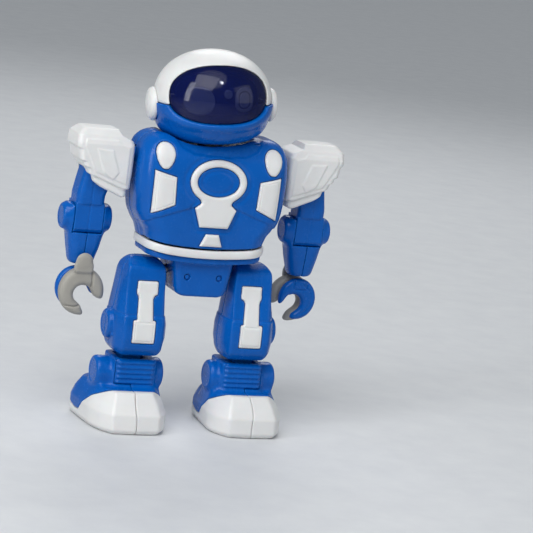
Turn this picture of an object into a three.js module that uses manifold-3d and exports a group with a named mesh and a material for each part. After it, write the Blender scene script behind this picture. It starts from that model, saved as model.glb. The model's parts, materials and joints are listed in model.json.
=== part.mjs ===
// Walking humanoid robot toy, a battery-powered figure about 237 mm tall.
// Millimetres, +Z up. The robot faces -Y and its left side is +X. The origin is on the floor.

import * as THREE from 'three';
import { mergeVertices } from 'three/addons/utils/BufferGeometryUtils.js';
import Module from 'manifold-3d';

const wasm = await Module();
wasm.setup();

// ---- Driving dimensions ----------------------------------------------------------------------

const WALL = 2.2; // thickness of the moulded shells
const GAP = 0.3; // clearance between pieces that meet
const CENTRING_Y = 1.81; // puts the origin under the middle of the whole robot

const HEAD = {
  radius: 36.4, depthRatio: 0.94, centreZ: 206, up: 30.5, down: 27, upPower: 2.1, downPower: 3.2,
};
const HEAD_PIVOT_Z = 178;
const HEAD_TURN = THREE.MathUtils.degToRad(-8); // the head rests turned towards its right
const HEAD_TILT = THREE.MathUtils.degToRad(-5); // and leans a little on its loose neck
const HELMET_PARTING_Z = 204.5;
const VISOR = { centreZ: 212, halfWidth: 30, halfHeight: 17, power: 2.5 };
const POD = { z: 202.5, radius: 10.5, outer: 41, inner: 33 };

// Torso levels: height, half width, front, back, corner radius.
const TORSO_LEVELS = [
  [118.4, 38.8, -24, 19, 14],
  [124, 40.6, -24.6, 20, 14],
  [129, 43.6, -25, 20.6, 13.5],
  [136, 46.8, -25.2, 21.2, 14],
  [147, 48.2, -25, 21.6, 14],
  [160, 48.8, -24.4, 22, 14],
  [170, 48.4, -23, 22, 13.5],
  [176, 47, -20.5, 21, 12.5],
  [180.6, 44, -17, 18, 11],
  [184, 39, -12, 13, 8],
];
const WAIST_DIP = 3.2; // how far the waist line sinks at the middle of the front
const BELT = { bottom: 113.1, top: 118.1, halfWidth: 39.2, front: -25, back: 19, corner: 14.4 };
const SKIRT = { bottom: 109.2, top: 112.8, halfWidth: 37.8, front: -22.6, back: 18, corner: 12 };
const PELVIS = { bottom: 84.5, front: -18.6, back: 14 };
const NECK = { radius: 7.5, bottom: 172 };

const SHOULDER = { y: 2, z: 168 };
const ELBOW = { x: 73, y: 6, z: 126, radius: 7.8, noseHalf: 9.1, bossHalf: 15.6 };
const WRIST = { x: 73, y: 6, z: 100, pinRadius: 2.2, lugRadius: 6.4 };
const HIP = { y: -1, z: 98, pinRadius: 2.5 };
const ANKLE = { x: 37.2, y: -4, z: 32, pinRadius: 2.5 };

const LEG_FACE = { inner: 22.9, outer: 47.5 }; // flat front of the leg casing
// Leg levels: height, inner side, outer side, front, back.
const LEG_LEVELS = [
  [45.2, 22.4, 48.6, -17.2, 9],
  [49.5, 20.8, 52.6, -21, 10],
  [57, 19.2, 55.8, -22.2, 10.6],
  [66, 19.2, 54.8, -21.6, 11],
  [72, 20.4, 52, -20.2, 11],
  [86, 21.4, 50, -17, 11.4],
  [97, 22, 48.8, -15.8, 11.4],
  [101, 23, 47.8, -14.6, 10],
  [105.4, 25, 45.6, -6, 5],
];

const FOOT_X = 38.2;
const HEEL_X = 41; // the round heel stands a little further out than the toe
// Foot levels: height, half width, toe, centre of the round heel, heel depth behind that centre.
const FOOT_LEVELS = [
  [0, 22.6, -35.2, 12, 17],
  [2.6, 24.4, -37.2, 12, 19],
  [12, 24.6, -36.4, 12, 19],
  [18, 22.6, -32.6, 11, 17.4],
  [24.6, 19, -27, 9, 13],
];
const ANKLE_BLOCK = { x: 35.6, halfWidth: 13.6, front: -17.4, back: 9, top: 42.6 };
const ANKLE_DISC = { radius: 9.6, inner: 15.4, outer: 59.4 };

const BATTERY = { radius: 7.1, length: 49.8, spacing: 14.9, y: 8.6, bottom: 120.2 };
const GEAR_MODULE = 0.6;
const PINION_TEETH = 12;
const WHEEL_TEETH = 36;
const GEAR_FACE = 3;
const MOTOR = { y: -10, z: 118, radius: 7.8, length: 24 };
const GEAR_DISTANCE = GEAR_MODULE * (PINION_TEETH + WHEEL_TEETH) / 2;
const WHEEL_Y = -1.5;
const WHEEL_AXIS = { y: WHEEL_Y, z: MOTOR.z - Math.sqrt(GEAR_DISTANCE ** 2 - (MOTOR.y - WHEEL_Y) ** 2) };

const GRIP = { x: 71.4, z: 79, radius: 5.6 }; // the round grip of the claw

// ---- Finishes --------------------------------------------------------------------------------

const FINISHES = {
  blue: { color: 0x0a52b4, roughness: 0.28, metalness: 0 },
  white: { color: 0xe6e7e6, roughness: 0.42, metalness: 0 },
  grey: { color: 0x96938f, roughness: 0.6, metalness: 0 },
  visor: { color: 0x0a1250, roughness: 0.08, metalness: 0, transparent: true, opacity: 0.75 },
  reflector: { color: 0x6a5f86, roughness: 0.35, metalness: 0.1 },
  led: { color: 0xf4f6ff, roughness: 0.15, metalness: 0 },
  black: { color: 0x1c1d20, roughness: 0.5, metalness: 0 },
  board: { color: 0x14633c, roughness: 0.55, metalness: 0 },
  steel: { color: 0xb4b7ba, roughness: 0.3, metalness: 1 },
  cell: { color: 0x9a7a34, roughness: 0.35, metalness: 0.6 },
  nylon: { color: 0xf0efe8, roughness: 0.5, metalness: 0 },
};

// ---- Geometry helpers ------------------------------------------------------------------------

function solid(geometry) {
  const bare = geometry.index ? geometry.toNonIndexed() : geometry.clone();
  for (const name of Object.keys(bare.attributes)) {
    if (name !== 'position') {
      bare.deleteAttribute(name);
    }
  }
  const merged = mergeVertices(bare, 1e-4);
  const vertProperties = new Float32Array(merged.attributes.position.array);
  const triVerts = new Uint32Array(merged.index.array);
  return new wasm.Manifold(new wasm.Mesh({ numProp: 3, vertProperties, triVerts }));
}

function geometryOf(manifold) {
  const mesh = manifold.getMesh();
  const geometry = new THREE.BufferGeometry();
  geometry.setAttribute('position', new THREE.BufferAttribute(new Float32Array(mesh.vertProperties), 3));
  geometry.setIndex(new THREE.BufferAttribute(new Uint32Array(mesh.triVerts), 1));
  return geometry;
}

// Mirrors a piece: in the middle plane for the other side, or front to back about the given y.
function reflected(geometry, component, twiceMiddle) {
  const copy = geometry.clone();
  const position = copy.attributes.position;
  for (let i = 0; i < position.count; i += 1) {
    position.setComponent(i, component, twiceMiddle - position.getComponent(i, component));
  }
  const index = copy.index.array;
  for (let i = 0; i < index.length; i += 3) {
    [index[i + 1], index[i + 2]] = [index[i + 2], index[i + 1]];
  }
  return copy;
}

function mirrored(geometry) {
  return reflected(geometry, 0, 0);
}

function turnedRound(geometry, y) {
  return reflected(geometry, 1, 2 * y);
}

// A closed solid through rings of points; every ring has the same number of points, anticlockwise.
function loft(levels, warp) {
  const count = levels[0].ring.length;
  const vertices = [];
  for (const { z, ring } of levels) {
    for (const [x, y] of ring) {
      vertices.push(new THREE.Vector3(x, y, z));
    }
  }
  const last = levels.length - 1;
  for (const level of [0, last]) {
    const centre = new THREE.Vector3();
    for (let i = 0; i < count; i += 1) {
      centre.addScaledVector(vertices[level * count + i], 1 / count);
    }
    vertices.push(centre);
  }
  if (warp) {
    vertices.forEach(warp);
  }
  const bottomCentre = levels.length * count;
  const index = [];
  for (let j = 0; j < count; j += 1) {
    const next = (j + 1) % count;
    index.push(bottomCentre, next, j);
    index.push(bottomCentre + 1, last * count + j, last * count + next);
    for (let i = 0; i < last; i += 1) {
      const lower = i * count;
      const upper = lower + count;
      index.push(lower + j, lower + next, upper + next);
      index.push(lower + j, upper + next, upper + j);
    }
  }
  const geometry = new THREE.BufferGeometry().setFromPoints(vertices);
  geometry.setIndex(index);
  return geometry;
}

// Rounded rectangle from x0 to x1 and y0 to y1, anticlockwise seen from above.
function roundedRing(x0, x1, y0, y1, radius, steps = 4) {
  const corners = [
    [x1 - radius, y1 - radius],
    [x0 + radius, y1 - radius],
    [x0 + radius, y0 + radius],
    [x1 - radius, y0 + radius],
  ];
  const ring = [];
  corners.forEach(([x, y], quarter) => {
    for (let i = 0; i <= steps; i += 1) {
      const angle = (quarter + i / steps) * Math.PI / 2;
      ring.push([x + radius * Math.cos(angle), y + radius * Math.sin(angle)]);
    }
  });
  return ring;
}

function block(x0, x1, y0, y1, z0, z1) {
  const geometry = new THREE.BoxGeometry(x1 - x0, y1 - y0, z1 - z0);
  geometry.translate((x0 + x1) / 2, (y0 + y1) / 2, (z0 + z1) / 2);
  return solid(geometry);
}

// Extrudes a front-view outline (x, z) from the front y0 to the back y1.
function frontPrism(shape, y0, y1, curveSegments = 12) {
  const geometry = new THREE.ExtrudeGeometry(shape, { depth: y1 - y0, bevelEnabled: false, curveSegments });
  geometry.rotateX(Math.PI / 2);
  geometry.translate(0, y1, 0);
  return solid(geometry);
}

// Extrudes a side-view outline (y, z) from x0 to x1.
function sidePrism(shape, x0, x1, curveSegments = 12) {
  const geometry = new THREE.ExtrudeGeometry(shape, { depth: x1 - x0, bevelEnabled: false, curveSegments });
  geometry.rotateX(Math.PI / 2);
  geometry.rotateZ(Math.PI / 2);
  geometry.translate(x0, 0, 0);
  return solid(geometry);
}

// A round bar along X, with an optional chamfer on its outer end.
function barX(radius, x0, x1, y, z, segments = 24, chamfer = 0) {
  const profile = [
    new THREE.Vector2(0, x0),
    new THREE.Vector2(radius, x0),
    new THREE.Vector2(radius, x1 - chamfer),
    new THREE.Vector2(radius - chamfer, x1),
    new THREE.Vector2(0, x1),
  ];
  const points = chamfer > 0 ? profile : profile.filter((point, i) => i !== 3);
  const geometry = new THREE.LatheGeometry(points, segments);
  geometry.rotateZ(-Math.PI / 2);
  geometry.translate(0, y, z);
  return solid(geometry);
}

// A round bar along Z.
function barZ(radius, z0, z1, x, y, segments = 24) {
  const geometry = new THREE.CylinderGeometry(radius, radius, z1 - z0, segments);
  geometry.rotateX(Math.PI / 2);
  geometry.translate(x, y, (z0 + z1) / 2);
  return solid(geometry);
}

// A round bar along Y.
function barY(radius, y0, y1, x, z, segments = 24) {
  const geometry = new THREE.CylinderGeometry(radius, radius, y1 - y0, segments);
  geometry.translate(x, (y0 + y1) / 2, z);
  return solid(geometry);
}

function polygon(points) {
  return new THREE.Shape(points.map(([x, z]) => new THREE.Vector2(x, z)));
}

function ellipse(x, z, radiusX, radiusZ) {
  const shape = new THREE.Shape();
  shape.absellipse(x, z, radiusX, radiusZ, 0, Math.PI * 2, false, 0);
  return shape;
}

function superellipse(x, z, halfWidth, halfHeight, power, count = 24) {
  const points = [];
  for (let i = 0; i < count; i += 1) {
    const angle = (i / count) * Math.PI * 2;
    const c = Math.cos(angle);
    const s = Math.sin(angle);
    points.push([
      x + halfWidth * Math.sign(c) * Math.abs(c) ** (2 / power),
      z + halfHeight * Math.sign(s) * Math.abs(s) ** (2 / power),
    ]);
  }
  return polygon(points);
}

// Convex polygon moved outwards by the given distance.
function grown(points, distance) {
  const count = points.length;
  const area = points.reduce((sum, [x, z], i) => {
    const [nx, nz] = points[(i + 1) % count];
    return sum + x * nz - nx * z;
  }, 0);
  const turn = Math.sign(area);
  return points.map(([x, z], i) => {
    const [px, pz] = points[(i + count - 1) % count];
    const [nx, nz] = points[(i + 1) % count];
    const before = new THREE.Vector2(z - pz, px - x).normalize().multiplyScalar(turn);
    const after = new THREE.Vector2(nz - z, x - nx).normalize().multiplyScalar(turn);
    const along = before.clone().add(after);
    const scale = distance * 2 / along.lengthSq();
    return [x + along.x * scale, z + along.y * scale];
  });
}

// ---- Head ------------------------------------------------------------------------------------

function headSolid(offset, round = false) {
  const { radius, depthRatio, centreZ, up, down, upPower, downPower } = HEAD;
  const steps = 6;
  const points = [];
  for (let i = -steps; i <= steps; i += 1) {
    const angle = (i / steps) * Math.PI / 2;
    const power = i < 0 ? downPower : upPower;
    const height = i < 0 ? down : up;
    const across = Math.cos(angle) ** (2 / power);
    const along = Math.sign(angle) * Math.abs(Math.sin(angle)) ** (2 / power);
    const x = Math.abs(i) === steps ? 0 : across * (radius + offset);
    points.push(new THREE.Vector2(x, along * (height + offset)));
  }
  const geometry = new THREE.LatheGeometry(points, 24);
  geometry.rotateX(Math.PI / 2);
  geometry.scale(1, round ? 1 : depthRatio, 1);
  geometry.translate(0, 0, centreZ);
  return solid(geometry);
}

function visorPrism(grow) {
  const { centreZ, halfWidth, halfHeight, power } = VISOR;
  return frontPrism(superellipse(0, centreZ, halfWidth + grow, halfHeight + grow, power), -60, -8);
}

function neckHole(grow) {
  return barZ(NECK.radius + grow, 150, 190, 0, 0);
}

function earPod() {
  const pod = barX(POD.radius, POD.inner, POD.outer, 0, POD.z, 22, 2.2);
  return pod.subtract(headSolid(GAP));
}

function headPieces() {
  const shell = headSolid(0).subtract(headSolid(-WALL));
  const above = block(-60, 60, -60, 60, HELMET_PARTING_Z + GAP / 2, 300);
  const below = block(-60, 60, -60, 60, 100, HELMET_PARTING_Z - GAP / 2);
  const opening = visorPrism(GAP);
  const lens = headSolid(-0.4).subtract(headSolid(-0.4 - WALL)).intersect(visorPrism(0));
  const plate = headSolid(-6).subtract(headSolid(-7.6)).intersect(visorPrism(-5));
  const eyes = [-13, 13].map((x) => barY(5.2, -31.5, -24, x, VISOR.centreZ - 1, 12));
  const inside = headSolid(-4);
  const ledZ = VISOR.centreZ + 7;
  const panel = plate.add(eyes[0]).add(eyes[1]).intersect(inside).subtract(barY(2.6, -40, -20, 0, ledZ, 16));
  const led = barY(2.2, -40, -26, 0, ledZ, 16).intersect(inside);
  return {
    helmet: shell.intersect(above).subtract(opening),
    chin: shell.intersect(below).subtract(opening).subtract(neckHole(1)),
    lens,
    panel,
    led,
  };
}

// ---- Torso -----------------------------------------------------------------------------------

// The waist line sinks towards the middle of the front and fades out up the chest.
function dip(vertex) {
  const across = Math.max(0, 1 - (vertex.x / 39) ** 2);
  const forward = THREE.MathUtils.smoothstep(-vertex.y, 0, 20);
  const fade = 1 - THREE.MathUtils.smoothstep(vertex.z, 120, 150);
  vertex.z -= WAIST_DIP * across * forward * fade;
}

// Points are added along the front so that the dip stays smooth.
function frontRefined(ring) {
  const result = [];
  ring.forEach(([x, y], i) => {
    const [nextX, nextY] = ring[(i + 1) % ring.length];
    result.push([x, y]);
    if (x < 0 && nextX > 0 && y < 0) {
      for (let step = 1; step < 6; step += 1) {
        result.push([x + (nextX - x) * step / 6, y + (nextY - y) * step / 6]);
      }
    }
  });
  return result;
}

function torsoSolid(offset, reach = 0) {
  const levels = TORSO_LEVELS.map(([z, halfWidth, front, back, radius], i) => {
    const half = halfWidth + offset;
    const corner = Math.max(1, radius + offset);
    const ring = roundedRing(-half, half, front - offset, back + offset, corner, 3);
    const top = i === TORSO_LEVELS.length - 1 ? offset : 0;
    const bottom = i === 0 ? -reach : 0;
    return { z: z + top + bottom, ring: frontRefined(ring) };
  });
  return solid(loft(levels, dip));
}

function emblemSolid(grow) {
  const centreZ = 157.9;
  const ring = frontPrism(ellipse(0, centreZ, 18.4 + grow, 13.6 + grow), -40, -8, 14);
  const eye = frontPrism(ellipse(0, centreZ, 13.8 - grow, 9.2 - grow), -42, -6, 14);
  const stalk = [[-9.7, 147.4], [9.7, 147.4], [9.7, 140], [-9.7, 140]];
  const plate = [[-13.6, 141.6], [13.6, 141.6], [9.2, 129.6], [-9.2, 129.6]];
  const [stem, sign] = [stalk, plate].map((points) => polygon(grown(points, grow)));
  return ring.add(frontPrism(stem, -40, -8)).subtract(eye).add(frontPrism(sign, -40, -8));
}

function badgeSolid(grow) {
  const points = [[-4.2, 125.4], [4.2, 125.4], [7.4, 117.6], [-7.4, 117.6]];
  return frontPrism(polygon(grown(points, grow)), -40, -8);
}

function teardropSolid(grow) {
  const points = [];
  for (let i = -1; i <= 7; i += 1) {
    const angle = (i / 6) * Math.PI;
    points.push([35.2 + 6.2 * Math.cos(angle), 173.4 + 6.2 * Math.sin(angle)]);
  }
  points.push([33.9, 164.2], [36.5, 164.2]);
  return frontPrism(polygon(grown(points, grow)), -40, -8);
}

function chestPanelSolid(grow) {
  const points = [[27.3, 159.3], [41.2, 162.8], [40.9, 136], [26.5, 142.3]];
  return frontPrism(polygon(grown(points, grow)), -40, -8);
}

function mirroredSolid(manifold) {
  return solid(mirrored(geometryOf(manifold)));
}

function doorPrism(grow) {
  return block(-24 - grow, 24 + grow, 12, 40, 122 - grow, 173 + grow);
}

function torsoPieces() {
  const dish = headSolid(2.6, true).add(block(-20, 20, -20, 20, 200, 260));
  const dishLip = headSolid(2.6 + WALL, true);
  const outer = torsoSolid(0);
  const cavity = torsoSolid(-WALL, 4).subtract(dishLip);
  const shell = outer.subtract(dish).subtract(cavity).subtract(neckHole(GAP));
  const trims = {
    chest_emblem: emblemSolid,
    chest_badge: badgeSolid,
    teardrop_left: teardropSolid,
    teardrop_right: (grow) => mirroredSolid(teardropSolid(grow)),
    chest_panel_left: chestPanelSolid,
    chest_panel_right: (grow) => mirroredSolid(chestPanelSolid(grow)),
  };
  const proud = torsoSolid(0.8);
  const seat = torsoSolid(-1);
  const pocketFloor = torsoSolid(-1 - GAP);
  const belowWaist = block(-60, 60, -60, 60, 80, 118.6 - WAIST_DIP);
  const pieces = {};
  let front = shell.intersect(block(-60, 60, -60, -GAP / 2, 60, 300));
  for (const [name, make] of Object.entries(trims)) {
    pieces[name] = make(0).intersect(proud).subtract(seat).subtract(belowWaist);
    front = front.subtract(make(GAP).subtract(pocketFloor));
  }
  let back = shell.intersect(block(-60, 60, GAP / 2, 60, 60, 300));
  const switchSlot = block(-31.5, -25.5, 10, 40, 141, 149);
  for (const side of [-1, 1]) {
    const hole = barX(5.4, side > 0 ? 40 : -60, side > 0 ? 60 : -40, SHOULDER.y, SHOULDER.z);
    front = front.subtract(hole);
    back = back.subtract(hole);
  }
  pieces.chest_front = front;
  pieces.chest_back = back.subtract(doorPrism(GAP)).subtract(switchSlot);
  const screwHole = barY(2.9, 12, 40, 0, 169);
  pieces.battery_door = outer.subtract(torsoSolid(-WALL)).intersect(doorPrism(0)).subtract(screwHole);
  return pieces;
}

// A flat band round the waist that follows the dip of the waist line.
function dippedBand(halfWidth, front, back, corner, z0, z1) {
  const ring = frontRefined(roundedRing(-halfWidth, halfWidth, front, back, corner, 3));
  return solid(loft([{ z: z0, ring }, { z: z1, ring }], dip));
}

function waistBelt() {
  const { bottom, top, halfWidth, front, back, corner } = BELT;
  const outer = dippedBand(halfWidth + 0.6, front - 0.6, back + 0.6, corner + 0.6, bottom, top);
  const inner = dippedBand(halfWidth - WALL, front + WALL, back - WALL, corner - WALL, bottom - 3, top + 3);
  return outer.subtract(inner);
}

function pelvisShell() {
  const { halfWidth, front, back, corner } = SKIRT;
  const skirt = (offset, z0, z1) => dippedBand(
    halfWidth + offset, front - offset, back + offset, corner + offset, z0, z1,
  );
  const blockLevels = [[84.5, 13.6, 3], [86.5, 16, 4], [89.5, 17.2, 4], [107, 19.8, 4], [112, 20.4, 4]];
  const body = (offset) => solid(loft(blockLevels.map(([z, half, radius]) => ({
    z: z === PELVIS.bottom ? z - offset : z,
    ring: roundedRing(
      -half - offset, half + offset, PELVIS.front - offset, PELVIS.back + offset, radius + offset / 2, 2,
    ),
  }))));
  const hollow = body(-WALL).add(block(-17.8, 16, -18, 11, 108, 130));
  const tray = skirt(0, SKIRT.bottom, SKIRT.top).subtract(skirt(-WALL, SKIRT.bottom + 1.6, 125));
  const keepBelow = block(-60, 60, -60, 60, 60, SKIRT.bottom + 0.8).add(skirt(0, SKIRT.bottom - 2, SKIRT.top));
  let shell = tray.add(body(0).intersect(keepBelow)).subtract(hollow);
  shell = shell.subtract(barX(HIP.pinRadius + GAP, -25, 25, HIP.y, HIP.z));
  for (const x of [-10.5, 10.5]) {
    shell = shell.subtract(barY(1.7, -30, PELVIS.front + 1, x, 96.8, 16));
  }
  return shell;
}

function neckStem() {
  const points = [
    [0, NECK.bottom], [NECK.radius + 3, NECK.bottom], [NECK.radius + 3, NECK.bottom + 1.9],
    [NECK.radius, NECK.bottom + 1.9], [NECK.radius, 182.8], [NECK.radius + 3.4, 182.8],
    [NECK.radius + 3.4, 184.6], [0, 184.6],
  ];
  const geometry = new THREE.LatheGeometry(points.map(([r, z]) => new THREE.Vector2(r, z)), 24);
  geometry.rotateX(Math.PI / 2);
  return solid(geometry);
}

// ---- Drive and power inside the body ---------------------------------------------------------

function gearOutline(teeth, turned, y, z) {
  const pitch = GEAR_MODULE * teeth / 2;
  const tip = pitch + 0.85 * GEAR_MODULE;
  const root = pitch - 1.2 * GEAR_MODULE;
  const step = Math.PI * 2 / teeth;
  const points = [];
  for (let i = 0; i < teeth; i += 1) {
    const middle = i * step + turned;
    for (const [radius, share] of [[root, -0.3], [tip, -0.1], [tip, 0.1], [root, 0.3]]) {
      const angle = middle + share * step;
      points.push([y + radius * Math.cos(angle), z + radius * Math.sin(angle)]);
    }
  }
  return polygon(points);
}

function gearX(teeth, turned, x0, x1, y, z) {
  return sidePrism(gearOutline(teeth, turned, y, z), x0, x1);
}

function drivePieces() {
  const half = MOTOR.length / 2;
  const centreX = -5;
  const motor = barX(MOTOR.radius, centreX - half, centreX + half, MOTOR.y, MOTOR.z, 24);
  const shaft = barX(1, centreX + half - 1, centreX + half + 1.4, MOTOR.y, MOTOR.z, 12);
  // Direction from the wheel to the pinion, in the y-z plane.
  const towards = Math.atan2(MOTOR.z - WHEEL_AXIS.z, MOTOR.y - WHEEL_AXIS.y);
  const wheelTurn = towards;
  const pinionTurn = towards + Math.PI + Math.PI / PINION_TEETH;
  const gearX0 = centreX + half + 1.8;
  const gearX1 = gearX0 + GEAR_FACE;
  const pinion = gearX(PINION_TEETH, pinionTurn, gearX0, gearX1, MOTOR.y, MOTOR.z);
  const wheel = gearX(WHEEL_TEETH, wheelTurn, gearX0, gearX1, WHEEL_AXIS.y, WHEEL_AXIS.z);
  const axle = barX(1.5, -15.4, 15.4, WHEEL_AXIS.y, WHEEL_AXIS.z, 16);
  return { motor: motor.add(shaft), pinion, wheel: wheel.add(axle) };
}

function batteryTray() {
  const { radius, length, spacing, y, bottom } = BATTERY;
  const half = spacing + radius + 0.4;
  const top = bottom + length;
  const tray = block(-half - 1.2, half + 1.2, y - radius - 1.7, y + radius, bottom - 1.6, top + 1.6);
  return tray.subtract(block(-half, half, y - radius - 0.5, y + radius + 5, bottom - 0.4, top + 0.4));
}

// ---- Legs and feet (left side; the right side is the mirror image) ---------------------------

function legRing(inner, outer, front, back, offset) {
  const faceInner = Math.max(LEG_FACE.inner, inner) - offset * 0.4;
  const faceOuter = Math.min(LEG_FACE.outer, outer) + offset * 0.4;
  const x0 = inner - offset;
  const x1 = outer + offset;
  const y0 = front - offset;
  const y1 = back + offset;
  const cut = 5;
  const innerCut = 8;
  const frontCut = 6.5;
  return [
    [x1, y1 - cut], [x1 - cut, y1], [x0 + cut, y1], [x0, y1 - innerCut],
    [x0, y0 + frontCut], [faceInner, y0], [faceOuter, y0], [x1, y0 + frontCut],
  ];
}

function legSolid(offset, reach = 0) {
  const last = LEG_LEVELS.length - 1;
  return solid(loft(LEG_LEVELS.map(([z, inner, outer, front, back], i) => ({
    z: z + (i === last ? offset : 0) - (i === 0 ? reach : 0),
    ring: legRing(inner, outer, front, back, offset),
  }))));
}

function legPanelPrism(grow) {
  const bars = [[27.6, 41, 85, 92.4], [29.7, 40.3, 67.6, 86], [28, 42.6, 54.2, 68.6]];
  return bars.map(([x0, x1, z0, z1]) => block(x0 - grow, x1 + grow, -40, -8, z0 - grow, z1 + grow))
    .reduce((whole, bar) => whole.add(bar));
}

function legPieces() {
  const shell = legSolid(0).subtract(legSolid(-WALL, 4));
  // The hub of the hip pin belongs to the rear half.
  const hub = barX(HIP.pinRadius + 2.4, 23.4, 40, HIP.y, HIP.z, 14);
  const bore = barX(HIP.pinRadius + GAP, 10, 38, HIP.y, HIP.z, 14);
  const split = HIP.y - HIP.pinRadius - 2.4;
  const pocket = legPanelPrism(GAP).subtract(legSolid(-1 - GAP));
  return {
    front: shell.intersect(block(0, 80, -60, split - GAP, 0, 200)).subtract(pocket),
    back: shell.intersect(block(0, 80, split, 60, 0, 200)).add(hub).subtract(bore),
    panel: legPanelPrism(0).intersect(legSolid(0.8)).subtract(legSolid(-1)),
    tongue: ankleTongue(),
  };
}

// The inner strut that hangs from the leg and carries the ankle pin.
function ankleTongue() {
  const outline = new THREE.Shape();
  outline.moveTo(ANKLE.y - 5.5, ANKLE.z);
  outline.absarc(ANKLE.y, ANKLE.z, 5.5, Math.PI, 0, false);
  outline.lineTo(ANKLE.y + 5.5, 60);
  outline.lineTo(ANKLE.y - 5.5, 60);
  outline.closePath();
  const strut = sidePrism(outline, ANKLE.x - 6, ANKLE.x + 6, 6);
  const pin = barX(ANKLE.pinRadius, ANKLE.x - 17, ANKLE.x + 17, ANKLE.y, ANKLE.z, 14);
  const plate = block(0, 80, -60, 60, 56.5, 60).intersect(legSolid(-WALL - GAP));
  return strut.add(plate).add(pin);
}

function footRing(halfWidth, toe, heelCentre, heelDepth, offset) {
  const half = halfWidth + offset;
  const front = toe - offset;
  const ring = [];
  const steps = 9;
  for (let i = 0; i <= steps; i += 1) {
    const angle = (i / steps) * Math.PI;
    ring.push([HEEL_X + half * Math.cos(angle), heelCentre + (heelDepth + offset) * Math.sin(angle)]);
  }
  ring.push([FOOT_X - half, front + 11]);
  ring.push([FOOT_X - half * 0.62, front]);
  ring.push([FOOT_X, front - 0.8]);
  ring.push([FOOT_X + half * 0.62, front]);
  ring.push([FOOT_X + half, front + 11]);
  return ring;
}

function footSolid(offset) {
  const last = FOOT_LEVELS.length - 1;
  return solid(loft(FOOT_LEVELS.map(([z, halfWidth, toe, centre, depth], i) => ({
    z: z + (i === last || i === 0 ? offset * Math.sign(i - 1) : 0),
    ring: footRing(halfWidth, toe, centre, depth, offset),
  }))));
}

// The line along which the white toe and sole meet the blue upper, seen from the side.
function solePrism(raise) {
  return sidePrism(polygon([
    [-60, -10], [-60, 25 + raise], [-24, 25 + raise], [-13, 18.6 + raise], [-5, 12 + raise],
    [0, 6 + raise], [6, 5.4 + raise], [20, 8 + raise], [60, 12 + raise], [60, -10],
  ]), 0, 90);
}

function footPieces() {
  const { x: blockX, halfWidth, front, back, top } = ANKLE_BLOCK;
  const ankle = solid(loft([
    { z: 20, ring: roundedRing(blockX - 15.4, blockX + 18, front - 7, back + 6, 5, 2) },
    { z: 27, ring: roundedRing(blockX - halfWidth, blockX + halfWidth, front, back, 4, 2) },
    { z: top, ring: roundedRing(blockX - halfWidth, blockX + halfWidth, front, back, 4, 2) },
  ]));
  const disc = barX(ANKLE_DISC.radius, ANKLE_DISC.inner, ANKLE_DISC.outer, ANKLE.y, ANKLE.z, 22, 1.6);
  let whole = footSolid(0).add(ankle).add(disc);
  const wellTop = block(ANKLE.x - 8, ANKLE.x + 8, ANKLE.y - 8.4, ANKLE.y + 8.4, 23, 60);
  const pinBore = barX(ANKLE.pinRadius + GAP, ANKLE.x - 17.4, ANKLE.x + 17.4, ANKLE.y, ANKLE.z, 14);
  for (const z of [29, 32, 35, 38, 41]) {
    whole = whole.subtract(block(blockX - 9.5, blockX + 9.5, -30, front + 0.9, z - 0.7, z + 0.7));
  }
  const cavity = footSolid(-WALL).intersect(block(0, 90, -60, 60, 2, 21));
  whole = whole.subtract(wellTop).subtract(pinBore).subtract(cavity);
  const inner = block(0, FOOT_X - GAP / 2, -60, 60, -5, 80);
  const outer = block(FOOT_X + GAP / 2, 90, -60, 60, -5, 80);
  const lower = solePrism(-GAP / 2);
  const upper = solePrism(GAP / 2);
  return {
    sole_inner: whole.intersect(lower).intersect(inner),
    sole_outer: whole.intersect(lower).intersect(outer),
    upper_inner: whole.subtract(upper).intersect(inner),
    upper_outer: whole.subtract(upper).intersect(outer),
  };
}

// ---- Arms (left side; the right side is the mirror image) ------------------------------------

// The lower rim of the shoulder plate climbs towards its outer side.
function pauldronRim(vertex) {
  const low = 1 - THREE.MathUtils.smoothstep(vertex.z, 142, 168);
  vertex.z += 0.42 * Math.max(0, vertex.x - 56) * low;
}

function pauldronSolid(offset) {
  const levels = [
    [141.6, 55, 72, -9, 12],
    [143, 52.8, 75.4, -9.6, 14.4],
    [146.8, 52.4, 77.6, -9.8, 15.4],
    [147.4, 51.4, 79, -10.4, 16],
    [160, 51, 83, -11, 16.4],
    [174, 51.2, 87.8, -11, 16],
    [179, 53, 87.4, -9.6, 14.6],
    [183, 58.4, 83.6, -5.6, 11],
  ];
  return solid(loft(levels.map(([z, x0, x1, y0, y1], i) => ({
    z: z + (i === levels.length - 1 ? offset : 0) - (i === 0 ? offset : 0),
    ring: roundedRing(x0 - offset, x1 + offset, y0 - offset, y1 + offset, 4 + offset, 2),
  })), pauldronRim));
}

function upperArmSolid(offset = 0) {
  const levels = [
    [134.8, 63.9, 82.1, -4.2, 13],
    [141, 63.9, 82.1, -4.6, 13],
    [150, 61, 80.6, -5, 13],
    [174, 58, 77, -6, 10],
  ];
  return solid(loft(levels.map(([z, x0, x1, y0, y1], i) => ({
    z: z + (i === levels.length - 1 ? offset : 0) - (i === 0 ? offset : 0),
    ring: roundedRing(x0 - offset, x1 + offset, y0 - offset, y1 + offset, 4 + offset, 2),
  }))));
}

// The nose of the upper arm fills the slot of the forearm and turns there on the elbow pin.
function elbowNose() {
  const { x, y, z, noseHalf } = ELBOW;
  const heel = 7;
  const outline = new THREE.Shape();
  outline.moveTo(y - 9.4, z + 10);
  outline.lineTo(y - 9.4, z - 6);
  outline.lineTo(y - 7.6, z - 8.4);
  outline.lineTo(y - 4.6, z - 9.1);
  outline.lineTo(y, z - heel);
  outline.absarc(y, z, heel, -Math.PI / 2, 0, false);
  outline.lineTo(y + heel, z + 10);
  outline.closePath();
  return sidePrism(outline, x - noseHalf, x + noseHalf, 6);
}

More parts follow.
